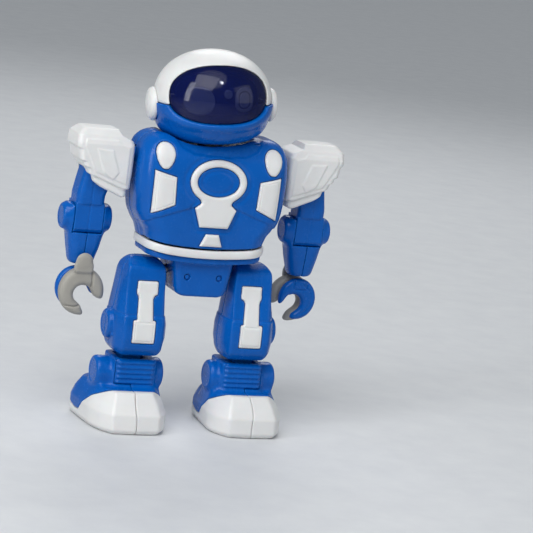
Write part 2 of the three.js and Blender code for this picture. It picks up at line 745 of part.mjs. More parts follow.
function upperArm() {
  const shaft = barX(4.6, 44.6, 62, SHOULDER.y, SHOULDER.z, 18);
  const collar = barX(7, 41.8, 44.6, SHOULDER.y, SHOULDER.z, 18);
  const bore = barX(2.2, ELBOW.x - 12, ELBOW.x + 12, ELBOW.y, ELBOW.z, 14);
  return upperArmSolid().add(elbowNose()).add(shaft).add(collar).subtract(bore);
}

function pauldron() {
  const cavity = pauldronSolid(-2).add(block(54.8, 73, -7, 11, 130, 152)).add(upperArmSolid(GAP));
  return pauldronSolid(0).subtract(cavity).subtract(barX(5.2, 40, 56, SHOULDER.y, SHOULDER.z, 18));
}

// Both halves of the forearm; the wrist lug lies in a round pocket on its front or its rear face.
function forearmPieces(pocketInFront) {
  const { x, y, z, noseHalf, bossHalf } = ELBOW;
  const levels = [
    [97.2, 66.4, 79.6, 0, 12],
    [98.6, 65.2, 80.8, -1.2, 13.2],
    [108, 62.8, 82.6, -2.6, 14.4],
    [118, 61, 84.2, -3.6, 15.4],
    [134, 60.4, 84.8, -3.8, 15.6],
  ];
  const body = solid(loft(levels.map(([level, x0, x1, y0, y1]) => ({
    z: level,
    ring: roundedRing(x0, x1, y0, y1, 4, 3),
  }))));
  const boss = barX(ELBOW.radius, x - bossHalf, x + bossHalf, y, z, 24, 1.4);
  const reach = noseHalf + GAP;
  const slot = block(x - reach, x + reach, y - 20, y + 7.4, z - 8.7, z + 30);
  const sweep = barX(11.7, x - reach, x + reach, y, z, 32).intersect(block(0, 120, y - 20, y + 7.4, 90, 160));
  const pin = barX(1.9, x - 11, x + 11, y, z, 14);
  const fromMiddle = (radius, start, segments) => {
    const [y0, y1] = pocketInFront ? [y - 30, y - start] : [y + start, y + 30];
    return barY(radius, y0, y1, WRIST.x, WRIST.z, segments);
  };
  const pocket = fromMiddle(WRIST.lugRadius + 0.8, 8.6, 24);
  const bore = fromMiddle(WRIST.pinRadius + GAP, -1, 14);
  const whole = body.add(boss).subtract(slot).subtract(sweep).add(pin).subtract(pocket).subtract(bore);
  return {
    inner: whole.intersect(block(40, x - GAP / 2, -40, 60, 90, 160)),
    outer: whole.intersect(block(x + GAP / 2, 110, -40, 60, 90, 160)),
  };
}

// The hand is a grey and a blue hooked claw back to back, hung on a pin through the wrist.
function handPieces() {
  const front = WRIST.y - 10.6;
  const middle = WRIST.y - 2.4;
  const back = WRIST.y + 3.8;
  const hole = barY(GRIP.radius, -30, 40, GRIP.x, GRIP.z, 20);
  const mouth = frontPrism(polygon([
    [GRIP.x, GRIP.z], [60.4, 76.8], [50, 72], [54, 56], [67.4, 63.6], [72.4, 73.6],
  ]), -30, 40);
  const lug = barY(WRIST.lugRadius, WRIST.y - 12, WRIST.y - 9, WRIST.x, WRIST.z, 22);
  const { x, y, z, lugRadius } = WRIST;
  const stem = block(x - lugRadius, x + lugRadius, y - 12, y - 9, 90, z);
  const pin = barY(WRIST.pinRadius, WRIST.y - 10, WRIST.y, WRIST.x, WRIST.z, 14);
  const palm = frontPrism(ellipse(72, 80.8, 14.4, 15), front, middle, 16);
  const backing = frontPrism(ellipse(74, 81.8, 12.6, 13.4), middle + GAP, back, 16);
  return {
    grey: palm.subtract(hole).subtract(mouth).add(lug).add(stem).add(pin),
    blue: backing.subtract(hole).subtract(mouth),
  };
}

// ---- Assembly --------------------------------------------------------------------------------

const robot = new THREE.Group();
robot.position.y = CENTRING_Y;
const head = new THREE.Group();
head.position.set(0, 0, HEAD_PIVOT_Z);
head.rotation.set(0, HEAD_TILT, HEAD_TURN, 'ZYX');
robot.add(head);

function addPiece(name, manifoldOrGeometry, finish, parent = robot) {
  const geometry = manifoldOrGeometry.isBufferGeometry ? manifoldOrGeometry : geometryOf(manifoldOrGeometry);
  if (parent === head) {
    geometry.translate(0, 0, -HEAD_PIVOT_Z);
  }
  geometry.computeVertexNormals();
  const mesh = new THREE.Mesh(geometry, new THREE.MeshStandardMaterial(FINISHES[finish]));
  mesh.name = name;
  parent.add(mesh);
}

function addPair(name, manifold, finish) {
  const left = geometryOf(manifold);
  addPiece(`${name}_left`, left, finish);
  addPiece(`${name}_right`, mirrored(left), finish);
}

const headParts = headPieces();
addPiece('helmet_shell', headParts.helmet, 'white', head);
addPiece('chin_guard', headParts.chin, 'blue', head);
addPiece('visor', headParts.lens, 'visor', head);
addPiece('eye_panel', headParts.panel, 'reflector', head);
addPiece('head_led', headParts.led, 'led', head);
const pod = geometryOf(earPod());
addPiece('ear_pod_right', mirrored(pod), 'white', head);
addPiece('ear_pod_left', pod, 'white', head);

const torso = torsoPieces();
for (const [name, piece] of Object.entries(torso)) {
  const isBlue = name.startsWith('chest_front') || name.startsWith('chest_back') || name === 'battery_door';
  addPiece(name, piece, isBlue ? 'blue' : 'white');
}
addPiece('waist_belt', waistBelt(), 'white');
const pelvis = pelvisShell();
addPiece('pelvis_front', pelvis.intersect(block(-60, 60, -60, HIP.y - GAP / 2, 60, 130)), 'blue');
addPiece('pelvis_back', pelvis.intersect(block(-60, 60, HIP.y + GAP / 2, 60, 60, 130)), 'blue');
addPiece('neck_stem', neckStem(), 'nylon');

addPiece('battery_tray', batteryTray(), 'black');
[-1, 0, 1].forEach((place, i) => {
  const { radius, length, spacing, y, bottom } = BATTERY;
  addPiece(`battery_${i + 1}`, barZ(radius, bottom, bottom + length, place * spacing, y, 20), 'cell');
});
addPiece('door_screw', barY(2.5, 17.4, 20.4, 0, 169, 16), 'steel');
addPiece('circuit_board', block(-24, 24, -6.6, -5, 134, 166), 'board');
const knob = block(-30.2, -26.8, 17.8, 23.2, 141.4, 145).add(block(-33, -24.4, 16.8, 18.6, 138.4, 148));
addPiece('power_switch', knob, 'black');
const drive = drivePieces();
addPiece('drive_motor', drive.motor, 'steel');
addPiece('motor_pinion', drive.pinion, 'nylon');
addPiece('drive_gear', drive.wheel, 'nylon');

addPair('hip_pin', barX(HIP.pinRadius, 14.6, 34, HIP.y, HIP.z, 20), 'steel');
const leg = legPieces();
addPair('leg_front', leg.front, 'blue');
addPair('leg_back', leg.back, 'blue');
addPair('leg_panel', leg.panel, 'white');
addPair('ankle_tongue', leg.tongue, 'blue');
const foot = footPieces();
addPair('boot_upper_outer', foot.upper_outer, 'blue');
addPair('boot_upper_inner', foot.upper_inner, 'blue');
addPair('boot_sole_outer', foot.sole_outer, 'white');
addPair('boot_sole_inner', foot.sole_inner, 'white');

addPair('pauldron', pauldron(), 'white');
addPair('upper_arm', upperArm(), 'blue');
const forearmRight = forearmPieces(true);
const forearmLeft = forearmPieces(false);
for (const half of ['outer', 'inner']) {
  addPiece(`forearm_${half}_left`, forearmLeft[half], 'blue');
  addPiece(`forearm_${half}_right`, mirrored(geometryOf(forearmRight[half])), 'blue');
}
// Both hands are the same moulding; the left one hangs turned round, with its blue side in front.
const hand = handPieces();
for (const finish of ['grey', 'blue']) {
  const claw = geometryOf(hand[finish]);
  addPiece(`claw_${finish}_right`, mirrored(claw), finish);
  addPiece(`claw_${finish}_left`, turnedRound(claw, WRIST.y), finish);
}

export default robot;
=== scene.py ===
# Walking humanoid robot toy: the moulded shells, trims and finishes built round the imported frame.
# Shapes are written in millimetres as signed distances and turned into smooth meshes in metres.

import json
import math

import bpy
import numpy as np
from mathutils import Matrix, Vector


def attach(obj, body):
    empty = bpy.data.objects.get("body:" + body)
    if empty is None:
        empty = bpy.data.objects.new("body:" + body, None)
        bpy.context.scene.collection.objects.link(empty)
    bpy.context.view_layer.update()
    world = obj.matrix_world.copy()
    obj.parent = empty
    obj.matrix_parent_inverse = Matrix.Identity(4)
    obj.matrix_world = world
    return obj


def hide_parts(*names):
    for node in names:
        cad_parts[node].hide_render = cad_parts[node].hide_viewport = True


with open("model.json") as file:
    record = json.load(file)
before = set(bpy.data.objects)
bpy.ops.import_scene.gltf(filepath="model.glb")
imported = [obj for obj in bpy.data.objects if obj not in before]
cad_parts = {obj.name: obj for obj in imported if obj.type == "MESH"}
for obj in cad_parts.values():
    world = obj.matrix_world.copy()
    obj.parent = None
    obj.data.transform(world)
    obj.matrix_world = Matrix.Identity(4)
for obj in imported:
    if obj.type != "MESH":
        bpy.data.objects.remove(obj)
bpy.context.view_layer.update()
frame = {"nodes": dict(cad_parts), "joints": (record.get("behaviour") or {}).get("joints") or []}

MM = 0.001
WALL = 2.2  # thickness of the moulded shells
GAP = 0.3  # clearance between pieces that meet
PIN_BORE = 2.8  # radius of the holes for the hip and ankle pins
JOINTS = {joint["name"]: joint for joint in frame["joints"]}


def joint_point(name):
    return [value / MM for value in JOINTS[name]["pos_m"]]


CENTRING_Y = joint_point("head_turn")[1]  # the frame's shift along y


def place_of(name):
    x, y, z = joint_point(name)
    return x, y - CENTRING_Y, z


NECK_Z = joint_point("head_turn")[2]
SHOULDER = place_of("shoulder_left")
ELBOW = place_of("elbow_left")
WRIST = place_of("wrist_left")
HIP = place_of("hip_left")
ANKLE = place_of("ankle_left")

# ---- Signed distances ------------------------------------------------------------------------


def smax(a, b, k):
    """Where both hold, with the edge between them rounded over about k."""
    h = np.maximum(k - np.abs(a - b), 0) / k
    return np.maximum(a, b) + h * h * k * 0.25


def smin(a, b, k):
    return -smax(-a, -b, k)


def cut(a, b, k):
    return smax(a, -b, k)


def slab(v, lo, hi):
    return np.maximum(lo - v, v - hi)


def box_d(x, y, z, lo, hi, k):
    d = smax(slab(x, lo[0], hi[0]), slab(y, lo[1], hi[1]), k)
    return smax(d, slab(z, lo[2], hi[2]), k)


def disc_d(u, v, cu, cv, radius):
    return np.sqrt((u - cu) ** 2 + (v - cv) ** 2) - radius


def bar_x(x, y, z, radius, x0, x1, cy, cz, k):
    return smax(disc_d(y, z, cy, cz, radius), slab(x, x0, x1), k)


def bar_y(x, y, z, radius, y0, y1, cx, cz, k):
    return smax(disc_d(x, z, cx, cz, radius), slab(y, y0, y1), k)


def ellipse_d(u, v, cu, cv, ru, rv):
    return (np.sqrt(((u - cu) / ru) ** 2 + ((v - cv) / rv) ** 2) - 1) * min(ru, rv)


def rounded_rect(x, y, x0, x1, y0, y1, radius):
    cx = (x0 + x1) / 2
    cy = (y0 + y1) / 2
    px = np.abs(x - cx) - (x1 - x0) / 2 + radius
    py = np.abs(y - cy) - (y1 - y0) / 2 + radius
    outside = np.sqrt(np.maximum(px, 0) ** 2 + np.maximum(py, 0) ** 2)
    return outside + np.minimum(np.maximum(px, py), 0) - radius


def polygon_d(u, v, points):
    """Signed distance to a closed outline in the plane of u and v."""
    distance = None
    inside = None
    count = len(points)
    for i in range(count):
        ax, ay = points[i]
        bx, by = points[(i + 1) % count]
        ex, ey = bx - ax, by - ay
        px, py = u - ax, v - ay
        t = np.clip((px * ex + py * ey) / (ex * ex + ey * ey), 0, 1)
        d = (px - ex * t) ** 2 + (py - ey * t) ** 2
        crosses = ((ay > v) != (by > v)) & (px < py * ex / (ey or 1e-9))
        distance = d if distance is None else np.minimum(distance, d)
        inside = crosses if inside is None else inside ^ crosses
    return np.sqrt(distance) * np.where(inside, -1.0, 1.0)


def line_d(u, v, points):
    """Distance to an open line through the points."""
    distance = None
    for (ax, ay), (bx, by) in zip(points, points[1:]):
        ex, ey = bx - ax, by - ay
        t = np.clip(((u - ax) * ex + (v - ay) * ey) / (ex * ex + ey * ey), 0, 1)
        d = (u - ax - ex * t) ** 2 + (v - ay - ey * t) ** 2
        distance = d if distance is None else np.minimum(distance, d)
    return np.sqrt(distance)


def groove(d, width, depth):
    """How much a soft groove (or, negative depth, a ridge) along a line at distance d lowers a surface."""
    return depth * np.exp(-(d / width) ** 2)


def smoothstep(v, lo, hi):
    t = np.clip((v - lo) / (hi - lo), 0, 1)
    return t * t * (3 - 2 * t)


def cap_relief(rim, depth):
    """The line round a joint's cap, at distance rim, and the slightly sunk middle inside it."""
    return groove(rim, 0.5, depth) + 0.3 * (1 - smoothstep(rim, -1, 0))


def curve(t, knots, column):
    """Smooth monotone curve through the knots' values in one column, the first being the height."""
    xs = np.array([k[0] for k in knots], float)
    ys = np.array([k[column] for k in knots], float)
    h = np.diff(xs)
    slope = np.diff(ys) / h
    m = np.zeros(len(xs))
    same = slope[:-1] * slope[1:] > 0
    with np.errstate(divide="ignore", invalid="ignore"):
        harmonic = 2 * slope[:-1] * slope[1:] / (slope[:-1] + slope[1:])
    m[1:-1] = np.where(same, harmonic, 0)
    m[0], m[-1] = slope[0], slope[-1]
    t = np.clip(t, xs[0], xs[-1])
    i = np.clip(np.searchsorted(xs, t) - 1, 0, len(h) - 1)
    s = (t - xs[i]) / h[i]
    return (
        (2 * s**3 - 3 * s**2 + 1) * ys[i]
        + (s**3 - 2 * s**2 + s) * h[i] * m[i]
        + (3 * s**2 - 2 * s**3) * ys[i + 1]
        + (s**3 - s**2) * h[i] * m[i + 1]
    )


# ---- From a signed distance to a mesh --------------------------------------------------------

CORNERS = [(i, j, k) for i in (0, 1) for j in (0, 1) for k in (0, 1)]
CELL_EDGES = [
    (a, b) for a in range(8) for b in range(a + 1, 8)
    if sum(abs(p - q) for p, q in zip(CORNERS[a], CORNERS[b])) == 1
]


def convexity(shape, points, reach=0.7):
    """From 0 on flats and hollows to 1 on tight outer edges: what handling wears first."""
    around = [shape(*(points + side * reach * e).T) for e in np.eye(3) for side in (-1, 1)]
    bend = (sum(around) - 6 * shape(*points.T)) / reach**2
    return np.clip(bend * 0.7 - 0.12, 0, 1)


def surface(shape, lo, hi, step):
    """Vertices and quads of the surface where shape is zero: dual contouring on a grid, then each vertex
    is moved onto the surface along the gradient."""
    axes = [np.arange(lo[a] - 1.5 * step, hi[a] + 2.5 * step, step) for a in range(3)]
    x, y, z = axes[0][:, None, None], axes[1][None, :, None], axes[2][None, None, :]
    size = tuple(len(a) for a in axes)
    value = np.broadcast_to(shape(x, y, z), size)
    inside = value < 0
    cells = tuple(n - 1 for n in size)
    total = np.zeros(cells, np.int8)
    for i, j, k in CORNERS:
        total += inside[i:i + cells[0], j:j + cells[1], k:k + cells[2]]
    active = np.argwhere((total > 0) & (total < 8))
    corner_values = np.stack([value[tuple((active + c).T)] for c in np.array(CORNERS)], 1)
    place = np.zeros((len(active), 3))
    weight = np.zeros(len(active))
    for a, b in CELL_EDGES:
        va, vb = corner_values[:, a], corner_values[:, b]
        crosses = (va < 0) != (vb < 0)
        t = np.where(crosses, va / np.where(crosses, va - vb, 1), 0)[:, None]
        point = np.array(CORNERS[a]) + t * (np.array(CORNERS[b]) - np.array(CORNERS[a]))
        place += np.where(crosses[:, None], point, 0)
        weight += crosses
    place /= weight[:, None]
    origin = np.array([a[0] for a in axes])
    points = origin + (active + place) * step
    number = np.full(cells, -1, np.int32)
    number[tuple(active.T)] = np.arange(len(active))
    quads = []
    for axis in range(3):
        u, v = (axis + 1) % 3, (axis + 2) % 3
        low = [slice(None)] * 3
        high = [slice(None)] * 3
        low[axis], high[axis] = slice(0, size[axis] - 1), slice(1, size[axis])
        a, b = inside[tuple(low)], inside[tuple(high)]
        edges = np.argwhere(a != b)
        keep = (edges[:, u] > 0) & (edges[:, v] > 0)
        keep &= (edges[:, u] < size[u] - 1) & (edges[:, v] < size[v] - 1)
        edges = edges[keep]
        forward = a[tuple(edges.T)]
        du, dv = np.eye(3, dtype=int)[u], np.eye(3, dtype=int)[v]
        ring = [number[tuple((edges - s * du - t * dv).T)] for s, t in ((1, 1), (0, 1), (0, 0), (1, 0))]
        ring = np.stack(ring, 1)
        quads.append(np.where(forward[:, None], ring, ring[:, ::-1]))
    quads = np.concatenate(quads)
    reach = step * 0.25
    for _ in range(3):
        here = shape(*points.T)
        gradient = np.stack([
            (shape(*(points + reach * e).T) - shape(*(points - reach * e).T)) / (2 * reach)
            for e in np.eye(3)
        ], 1)
        length = np.maximum(np.sum(gradient**2, 1), 0.04)
        move = -gradient * (here / length)[:, None]
        far = np.linalg.norm(move, axis=1)
        move *= np.minimum(1, 0.35 * step / np.maximum(far, 1e-9))[:, None]
        points = points + move
    return points, quads, convexity(shape, points)


def mesh_of(name, points, quads, edge):
    mesh = bpy.data.meshes.new(name)
    mesh.vertices.add(len(points))
    mesh.vertices.foreach_set("co", (points * MM).astype(np.float32).ravel())
    mesh.loops.add(quads.size)
    mesh.loops.foreach_set("vertex_index", quads.astype(np.int32).ravel())
    mesh.polygons.add(len(quads))
    mesh.polygons.foreach_set("loop_start", np.arange(0, quads.size, 4, dtype=np.int32))
    mesh.update(calc_edges=True)
    mesh.validate()
    mesh.shade_smooth()
    worn = mesh.attributes.new("edge", "FLOAT", "POINT")
    worn.data.foreach_set("value", edge.astype(np.float32))
    piece = bpy.data.objects.new(name, mesh)
    bpy.context.scene.collection.objects.link(piece)
    return piece


def add(name, body, material, points, quads, edge, node=None):
    """Makes a moulded piece that rides on a body, and stands for a CAD node if one is named."""
    piece = mesh_of(name, points + np.array([0, CENTRING_Y, 0]), quads, edge)
    piece.data.materials.append(MATERIALS[material])
    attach(piece, body)
    if node:
        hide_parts(node)
    return piece


def single(node, body, material, shape, lo, hi, step, place=None):
    points, quads, edge = surface(shape, lo, hi, step)
    if place is not None:
        points = place(points)
    return add(node + "_moulded", body, material, points, quads, edge, node)


def mirrored(points, quads):
    return points * np.array([-1, 1, 1]), quads[:, ::-1]


def pair(node, body, material, shape, lo, hi, step, place=None):
    """The left piece and its mirror image. In the body's name, {} stands for the side, if it has one."""
    points, quads, edge = surface(shape, lo, hi, step)
    sides = {"left": (points, quads), "right": mirrored(points, quads)}
    for side, (points, quads) in sides.items():
        if place is not None:
            points = place(points)
        name = f"{node}_{side}"
        add(f"{name}_moulded", body.format(side), material, points, quads, edge, name)


# ---- Finishes --------------------------------------------------------------------------------

def linear(red, green, blue):
    """A display colour given in 0 to 255 as linear light."""
    values = []
    for value in (red, green, blue):
        v = value / 255
        values.append(v / 12.92 if v <= 0.04045 else ((v + 0.055) / 1.055) ** 2.4)
    return (*values, 1)


def finish(name, colour, second, worn, roughness, bump, grain=1500, coat=0.0, metallic=0.0,
           subsurface=0.0, alpha=1.0, edge_wear=0.5, emission=0.0, specular=0.5):
    """Moulded or plated surface: faint cloudy colour, fine grain, gloss that wanders, and rubbed edges.
    The cloudy pair of colours and the colour of worn edges are display values in 0 to 255."""
    colour, second, worn = (linear(*shade) for shade in (colour, second, worn))
    material = bpy.data.materials.new(name)
    material.use_nodes = True
    nodes, links = material.node_tree.nodes, material.node_tree.links
    shader = nodes["Principled BSDF"]
    shader.inputs["Metallic"].default_value = metallic
    shader.inputs["Coat Weight"].default_value = coat
    shader.inputs["Coat Roughness"].default_value = 0.06
    shader.inputs["Subsurface Weight"].default_value = subsurface
    shader.inputs["Subsurface Scale"].default_value = 0.002
    shader.inputs["Alpha"].default_value = alpha
    shader.inputs["IOR"].default_value = 1.46
    shader.inputs["Specular IOR Level"].default_value = specular
    if emission:
        shader.inputs["Emission Color"].default_value = colour
        shader.inputs["Emission Strength"].default_value = emission
    where = nodes.new("ShaderNodeTexCoord").outputs["Object"]

    def noise(scale, detail, stretch=(1, 1, 1)):
        mapping = nodes.new("ShaderNodeMapping")
        mapping.inputs["Scale"].default_value = stretch
        links.new(where, mapping.inputs["Vector"])
        texture = nodes.new("ShaderNodeTexNoise")
        texture.inputs["Scale"].default_value = scale
        texture.inputs["Detail"].default_value = detail
        texture.inputs["Roughness"].default_value = 0.6
        links.new(mapping.outputs["Vector"], texture.inputs["Vector"])
        return texture.outputs["Fac"]

    def ranged(value, lo, hi, out_lo, out_hi):
        node = nodes.new("ShaderNodeMapRange")
        node.inputs["From Min"].default_value = lo
        node.inputs["From Max"].default_value = hi
        node.inputs["To Min"].default_value = out_lo
        node.inputs["To Max"].default_value = out_hi
        links.new(value, node.inputs["Value"])
        return node.outputs["Result"]

    def combine(operation, a, b):
        node = nodes.new("ShaderNodeMath")
        node.operation = operation
        node.use_clamp = operation == "MULTIPLY"
        for socket, value in zip(node.inputs, (a, b)):
            if isinstance(value, float):
                socket.default_value = value
            else:
                links.new(value, socket)
        return node.outputs[0]

    def mix(factor, a, b):
        node = nodes.new("ShaderNodeMix")
        node.data_type = "RGBA"
        links.new(factor, node.inputs[0])
        for socket, value in ((node.inputs[6], a), (node.inputs[7], b)):
            if isinstance(value, tuple):
                socket.default_value = value
            else:
                links.new(value, socket)
        return node.outputs[2]

    clouds = noise(38, 3)
    flow = noise(90, 4, (1, 1, 0.25))
    grains = noise(grain, 2)
    scuffs = noise(420, 5, (1, 0.35, 1))
    rubbed = nodes.new("ShaderNodeAttribute")
    rubbed.attribute_name = "edge"
    patchy = ranged(noise(260, 4), 0.42, 0.62, 0.15, 1.0)
    wear = combine("MULTIPLY", combine("MULTIPLY", rubbed.outputs["Fac"], patchy), float(edge_wear))
    body = mix(ranged(clouds, 0.3, 0.7, 0.0, 1.0), colour, second)
    links.new(mix(wear, body, worn), shader.inputs["Base Color"])
    gloss = ranged(flow, 0.3, 0.7, roughness[0], roughness[1])
    scuffed = ranged(scuffs, 0.56, 0.74, 0.0, 0.10)
    rough = combine("ADD", combine("ADD", gloss, scuffed), combine("MULTIPLY", wear, 0.25))
    links.new(rough, shader.inputs["Roughness"])
    waves = nodes.new("ShaderNodeBump")
    waves.inputs["Strength"].default_value = 0.12
    waves.inputs["Distance"].default_value = 0.0004
    links.new(clouds, waves.inputs["Height"])
    fine = nodes.new("ShaderNodeBump")
    fine.inputs["Strength"].default_value = bump
    fine.inputs["Distance"].default_value = 0.0003
    links.new(grains, fine.inputs["Height"])
    links.new(waves.outputs["Normal"], fine.inputs["Normal"])
    links.new(fine.outputs["Normal"], shader.inputs["Normal"])
    return material


MATERIALS = {
    "blue_plastic": finish(
        "blue_plastic", (0, 91, 180), (0, 84, 168), (20, 114, 194), (0.2, 0.3),
        bump=0.04, coat=0.1, edge_wear=0.3, specular=0.2,
    ),
    "white_plastic": finish(
        "white_plastic", (226, 226, 225), (219, 219, 218), (205, 205, 203), (0.34, 0.46),
        bump=0.08, coat=0.08, subsurface=0.08, edge_wear=0.4,
    ),
    "grey_plastic": finish(
        "grey_plastic", (158, 155, 147), (149, 146, 139), (182, 179, 171), (0.46, 0.58),
        bump=0.14, edge_wear=0.5,
    ),
    "visor_plastic": finish(
        "visor_plastic", (0, 14, 72), (1, 16, 82), (16, 40, 124), (0.04, 0.08),
        bump=0.01, coat=0.3, alpha=0.56, edge_wear=0.2, specular=0.3,
    ),
    "reflector": finish(
        "reflector", (150, 164, 206), (130, 144, 196), (180, 190, 220), (0.3, 0.42),
        bump=0.06,
    ),
    "eye_backing": finish(
        "eye_backing", (0, 14, 62), (0, 12, 54), (14, 34, 92), (0.3, 0.4), bump=0.05,
    ),
    # The LED's lens glows by its own emission: a painted glint standing for the small bright highlight on
    # it, not a lit LED.
    "led_lens": finish(
        "led_lens", (240, 244, 255), (228, 236, 255), (255, 255, 255), (0.08, 0.14),
        bump=0.01, coat=0.6, emission=2.2,
    ),
    "black_plastic": finish(
        "black_plastic", (30, 31, 34), (24, 25, 28), (74, 75, 78), (0.42, 0.56),
        bump=0.16,
    ),
    "circuit_board": finish(
        "circuit_board", (18, 92, 56), (12, 78, 46), (150, 150, 110), (0.36, 0.5),
        grain=900, bump=0.12,
    ),
    "steel": finish(
        "steel", (182, 184, 187), (164, 166, 170), (224, 225, 226), (0.22, 0.36),
        bump=0.06, metallic=1.0,
    ),
    "battery_jacket": finish(
        "battery_jacket", (160, 128, 58), (146, 116, 50), (200, 170, 96), (0.26, 0.36),
        bump=0.03, metallic=0.6,
    ),
    "nylon": finish(
        "nylon", (236, 234, 226), (226, 224, 214), (246, 245, 240), (0.4, 0.54),
        bump=0.1, subsurface=0.12,
    ),
}

# ---- Head ------------------------------------------------------------------------------------

# Widest height, half width there, reach above and below, and how square each curve is.
HEAD = {
    "z": 206, "half": 36.4, "up": 30.5, "down": 27, "up_power": 2.1, "down_power": 3.2,
    "scale": 31, "depth": 0.94,
}
HEAD_TURN = math.radians(-8)  # the head rests turned towards its right
HEAD_TILT = math.radians(-5)
PARTING_Z = 204.5  # where the white helmet meets the blue chin guard
VISOR = {
    "z": 209.6, "half": 30, "up": 19.4, "down": 14.6, "up_power": 2.25, "down_power": 2.6,
    "scale": 17,
}
FACE_Y = -8  # openings and trims on the front go no further back than this
POD = {"z": 202.5, "radius": 10.5, "inner": 33, "outer": 41}
NECK_RADIUS = 7.5
DISH_GAP = 1.0  # between the head and the dish it turns in
EYE_LAYER, BACKING_LAYER = (-5.1, -6.1), (-6, -7.6)  # front and back, from the head's surface
LED = {"y": -27.6, "z": 219.4, "radius": 0.9}


def egg_d(across, z, form, grow):
    """An outline with one curve above its widest height and another below."""
    above = z > form["z"]
    power = np.where(above, form["up_power"], form["down_power"])
    height = np.where(above, form["up"], form["down"]) + grow
    across = across / (form["half"] + grow)
    along = np.abs(z - form["z"]) / height
    return ((across**power + along**power + 1e-9) ** (1 / power) - 1) * (form["scale"] + grow)


def head_d(x, y, z, grow=0.0, depth=HEAD["depth"]):
    return egg_d(np.sqrt(x**2 + (y / depth) ** 2), z, HEAD, grow)


def visor_d(x, z, grow=0.0):
    return egg_d(np.abs(x), z, VISOR, grow)


def helmet_d(x, y, z):
    rim = 0.5 * (1 - smoothstep(visor_d(x, z), 1.5, 4.5)) * (y < 0)
    d = cut(head_d(x, y, z) - rim, head_d(x, y, z, -WALL), 0.6)
    d = smax(d, PARTING_Z + GAP / 2 - z, 0.5)
    return cut(d, smax(visor_d(x, z, GAP), y - FACE_Y, 0.5), 1.1)


def chin_d(x, y, z):
    edge = visor_d(x, z)
    lip = 1.7 * smoothstep(edge, 0, 1.6) * (1 - smoothstep(edge, 3.2, 8.0)) * (y < 0)
    d = cut(head_d(x, y, z) - lip, head_d(x, y, z, -WALL), 0.6)
    d = smax(d, z - PARTING_Z + GAP / 2, 0.5)
    d = cut(d, smax(visor_d(x, z, GAP), y - FACE_Y, 0.5), 0.9)
    return cut(d, np.maximum(disc_d(x, y, 0, 0, NECK_RADIUS + 1), z - 190), 0.6)


def lens_d(x, y, z):
    d = cut(head_d(x, y, z, -0.4), head_d(x, y, z, -0.4 - WALL), 0.4)
    return smax(d, np.maximum(visor_d(x, z), y - FACE_Y), 0.6)


def eye_backing_d(x, y, z):
    d = cut(head_d(x, y, z, BACKING_LAYER[0]), head_d(x, y, z, BACKING_LAYER[1]), 0.4)
    return smax(d, np.maximum(visor_d(x, z, -4), y - FACE_Y), 0.6)


def eyes_d(x, y, z):
    """The shapes that show faintly behind the visor: a big eye on each side and a small round one."""
    big = rounded_rect(x, z, -22, -4, 199.5, 216.5, 8)
    ring = np.abs(rounded_rect(x, z, 8.6, 21.4, 201.2, 216.4, 6) + 1.1) - 1.1
    iris = rounded_rect(x, z, 11.6, 18.4, 204.2, 213.4, 3.2)
    small = disc_d(x, z, 4.2, 212.6, 2.7)
    shapes = smin(smin(big, ring, 0.4), smin(iris, small, 0.4), 0.4)
    band = cut(head_d(x, y, z, EYE_LAYER[0]), head_d(x, y, z, EYE_LAYER[1]), 0.3)
    return smax(band, np.maximum(shapes, y - FACE_Y), 0.5)


def pod_d(x, y, z):
    puck = disc_d(y, z, 0, POD["z"], POD["radius"])
    bulge = 1.3 * (1 - smoothstep(np.sqrt(y**2 + (z - POD["z"]) ** 2), 0, POD["radius"]))
    d = smax(puck, slab(x, POD["inner"], POD["outer"] - 1 + bulge), 4.2)
    ring = groove(disc_d(y, z, 0, POD["z"], POD["radius"] * 0.62), 0.5, 0.35)
    return cut(d + ring * (x > POD["outer"] - 3), head_d(x, y, z, GAP), 0.8)


TILT = Matrix.Rotation(HEAD_TURN, 3, "Z") @ Matrix.Rotation(HEAD_TILT, 3, "Y")


def turned(points):
    pivot = np.array([0, 0, NECK_Z])
    return (points - pivot) @ np.array(TILT).T + pivot


HEAD_LO, HEAD_HI = (-39, -38, 177), (39, 38, 239)
single("helmet_shell", "head", "white_plastic", helmet_d, HEAD_LO, HEAD_HI, 0.7, turned)
single("chin_guard", "head", "blue_plastic", chin_d, HEAD_LO, HEAD_HI, 0.7, turned)
single("visor", "head", "visor_plastic", lens_d, (-34, -38, 190), (34, -6, 234), 0.6, turned)
single("eye_panel", "head", "reflector", eyes_d, (-26, -36, 196), (26, -18, 220), 0.4, turned)
points, quads, edge = surface(eye_backing_d, (-32, -34, 190), (32, -6, 232), 0.6)
add("eye_backing", "head", "eye_backing", turned(points), quads, edge)
pair("ear_pod", "head", "white_plastic", pod_d, (30, -12, 190), (43, 12, 215), 0.45, turned)


def led_d(x, y, z):
    ball = np.sqrt(x**2 + (y - LED["y"]) ** 2 + (z - LED["z"]) ** 2) - LED["radius"]
    barrel = smax(disc_d(x, z, 0, LED["z"], LED["radius"]), slab(y, LED["y"], -23), 0.3)
    return smin(ball, barrel, 0.3)


# The LED's lens carries the painted glint: it glows though nothing lights it.
single("head_led", "head", "led_lens", led_d, (-2, -30, 217), (2, -22, 222), 0.2, turned)

# ---- Torso -----------------------------------------------------------------------------------

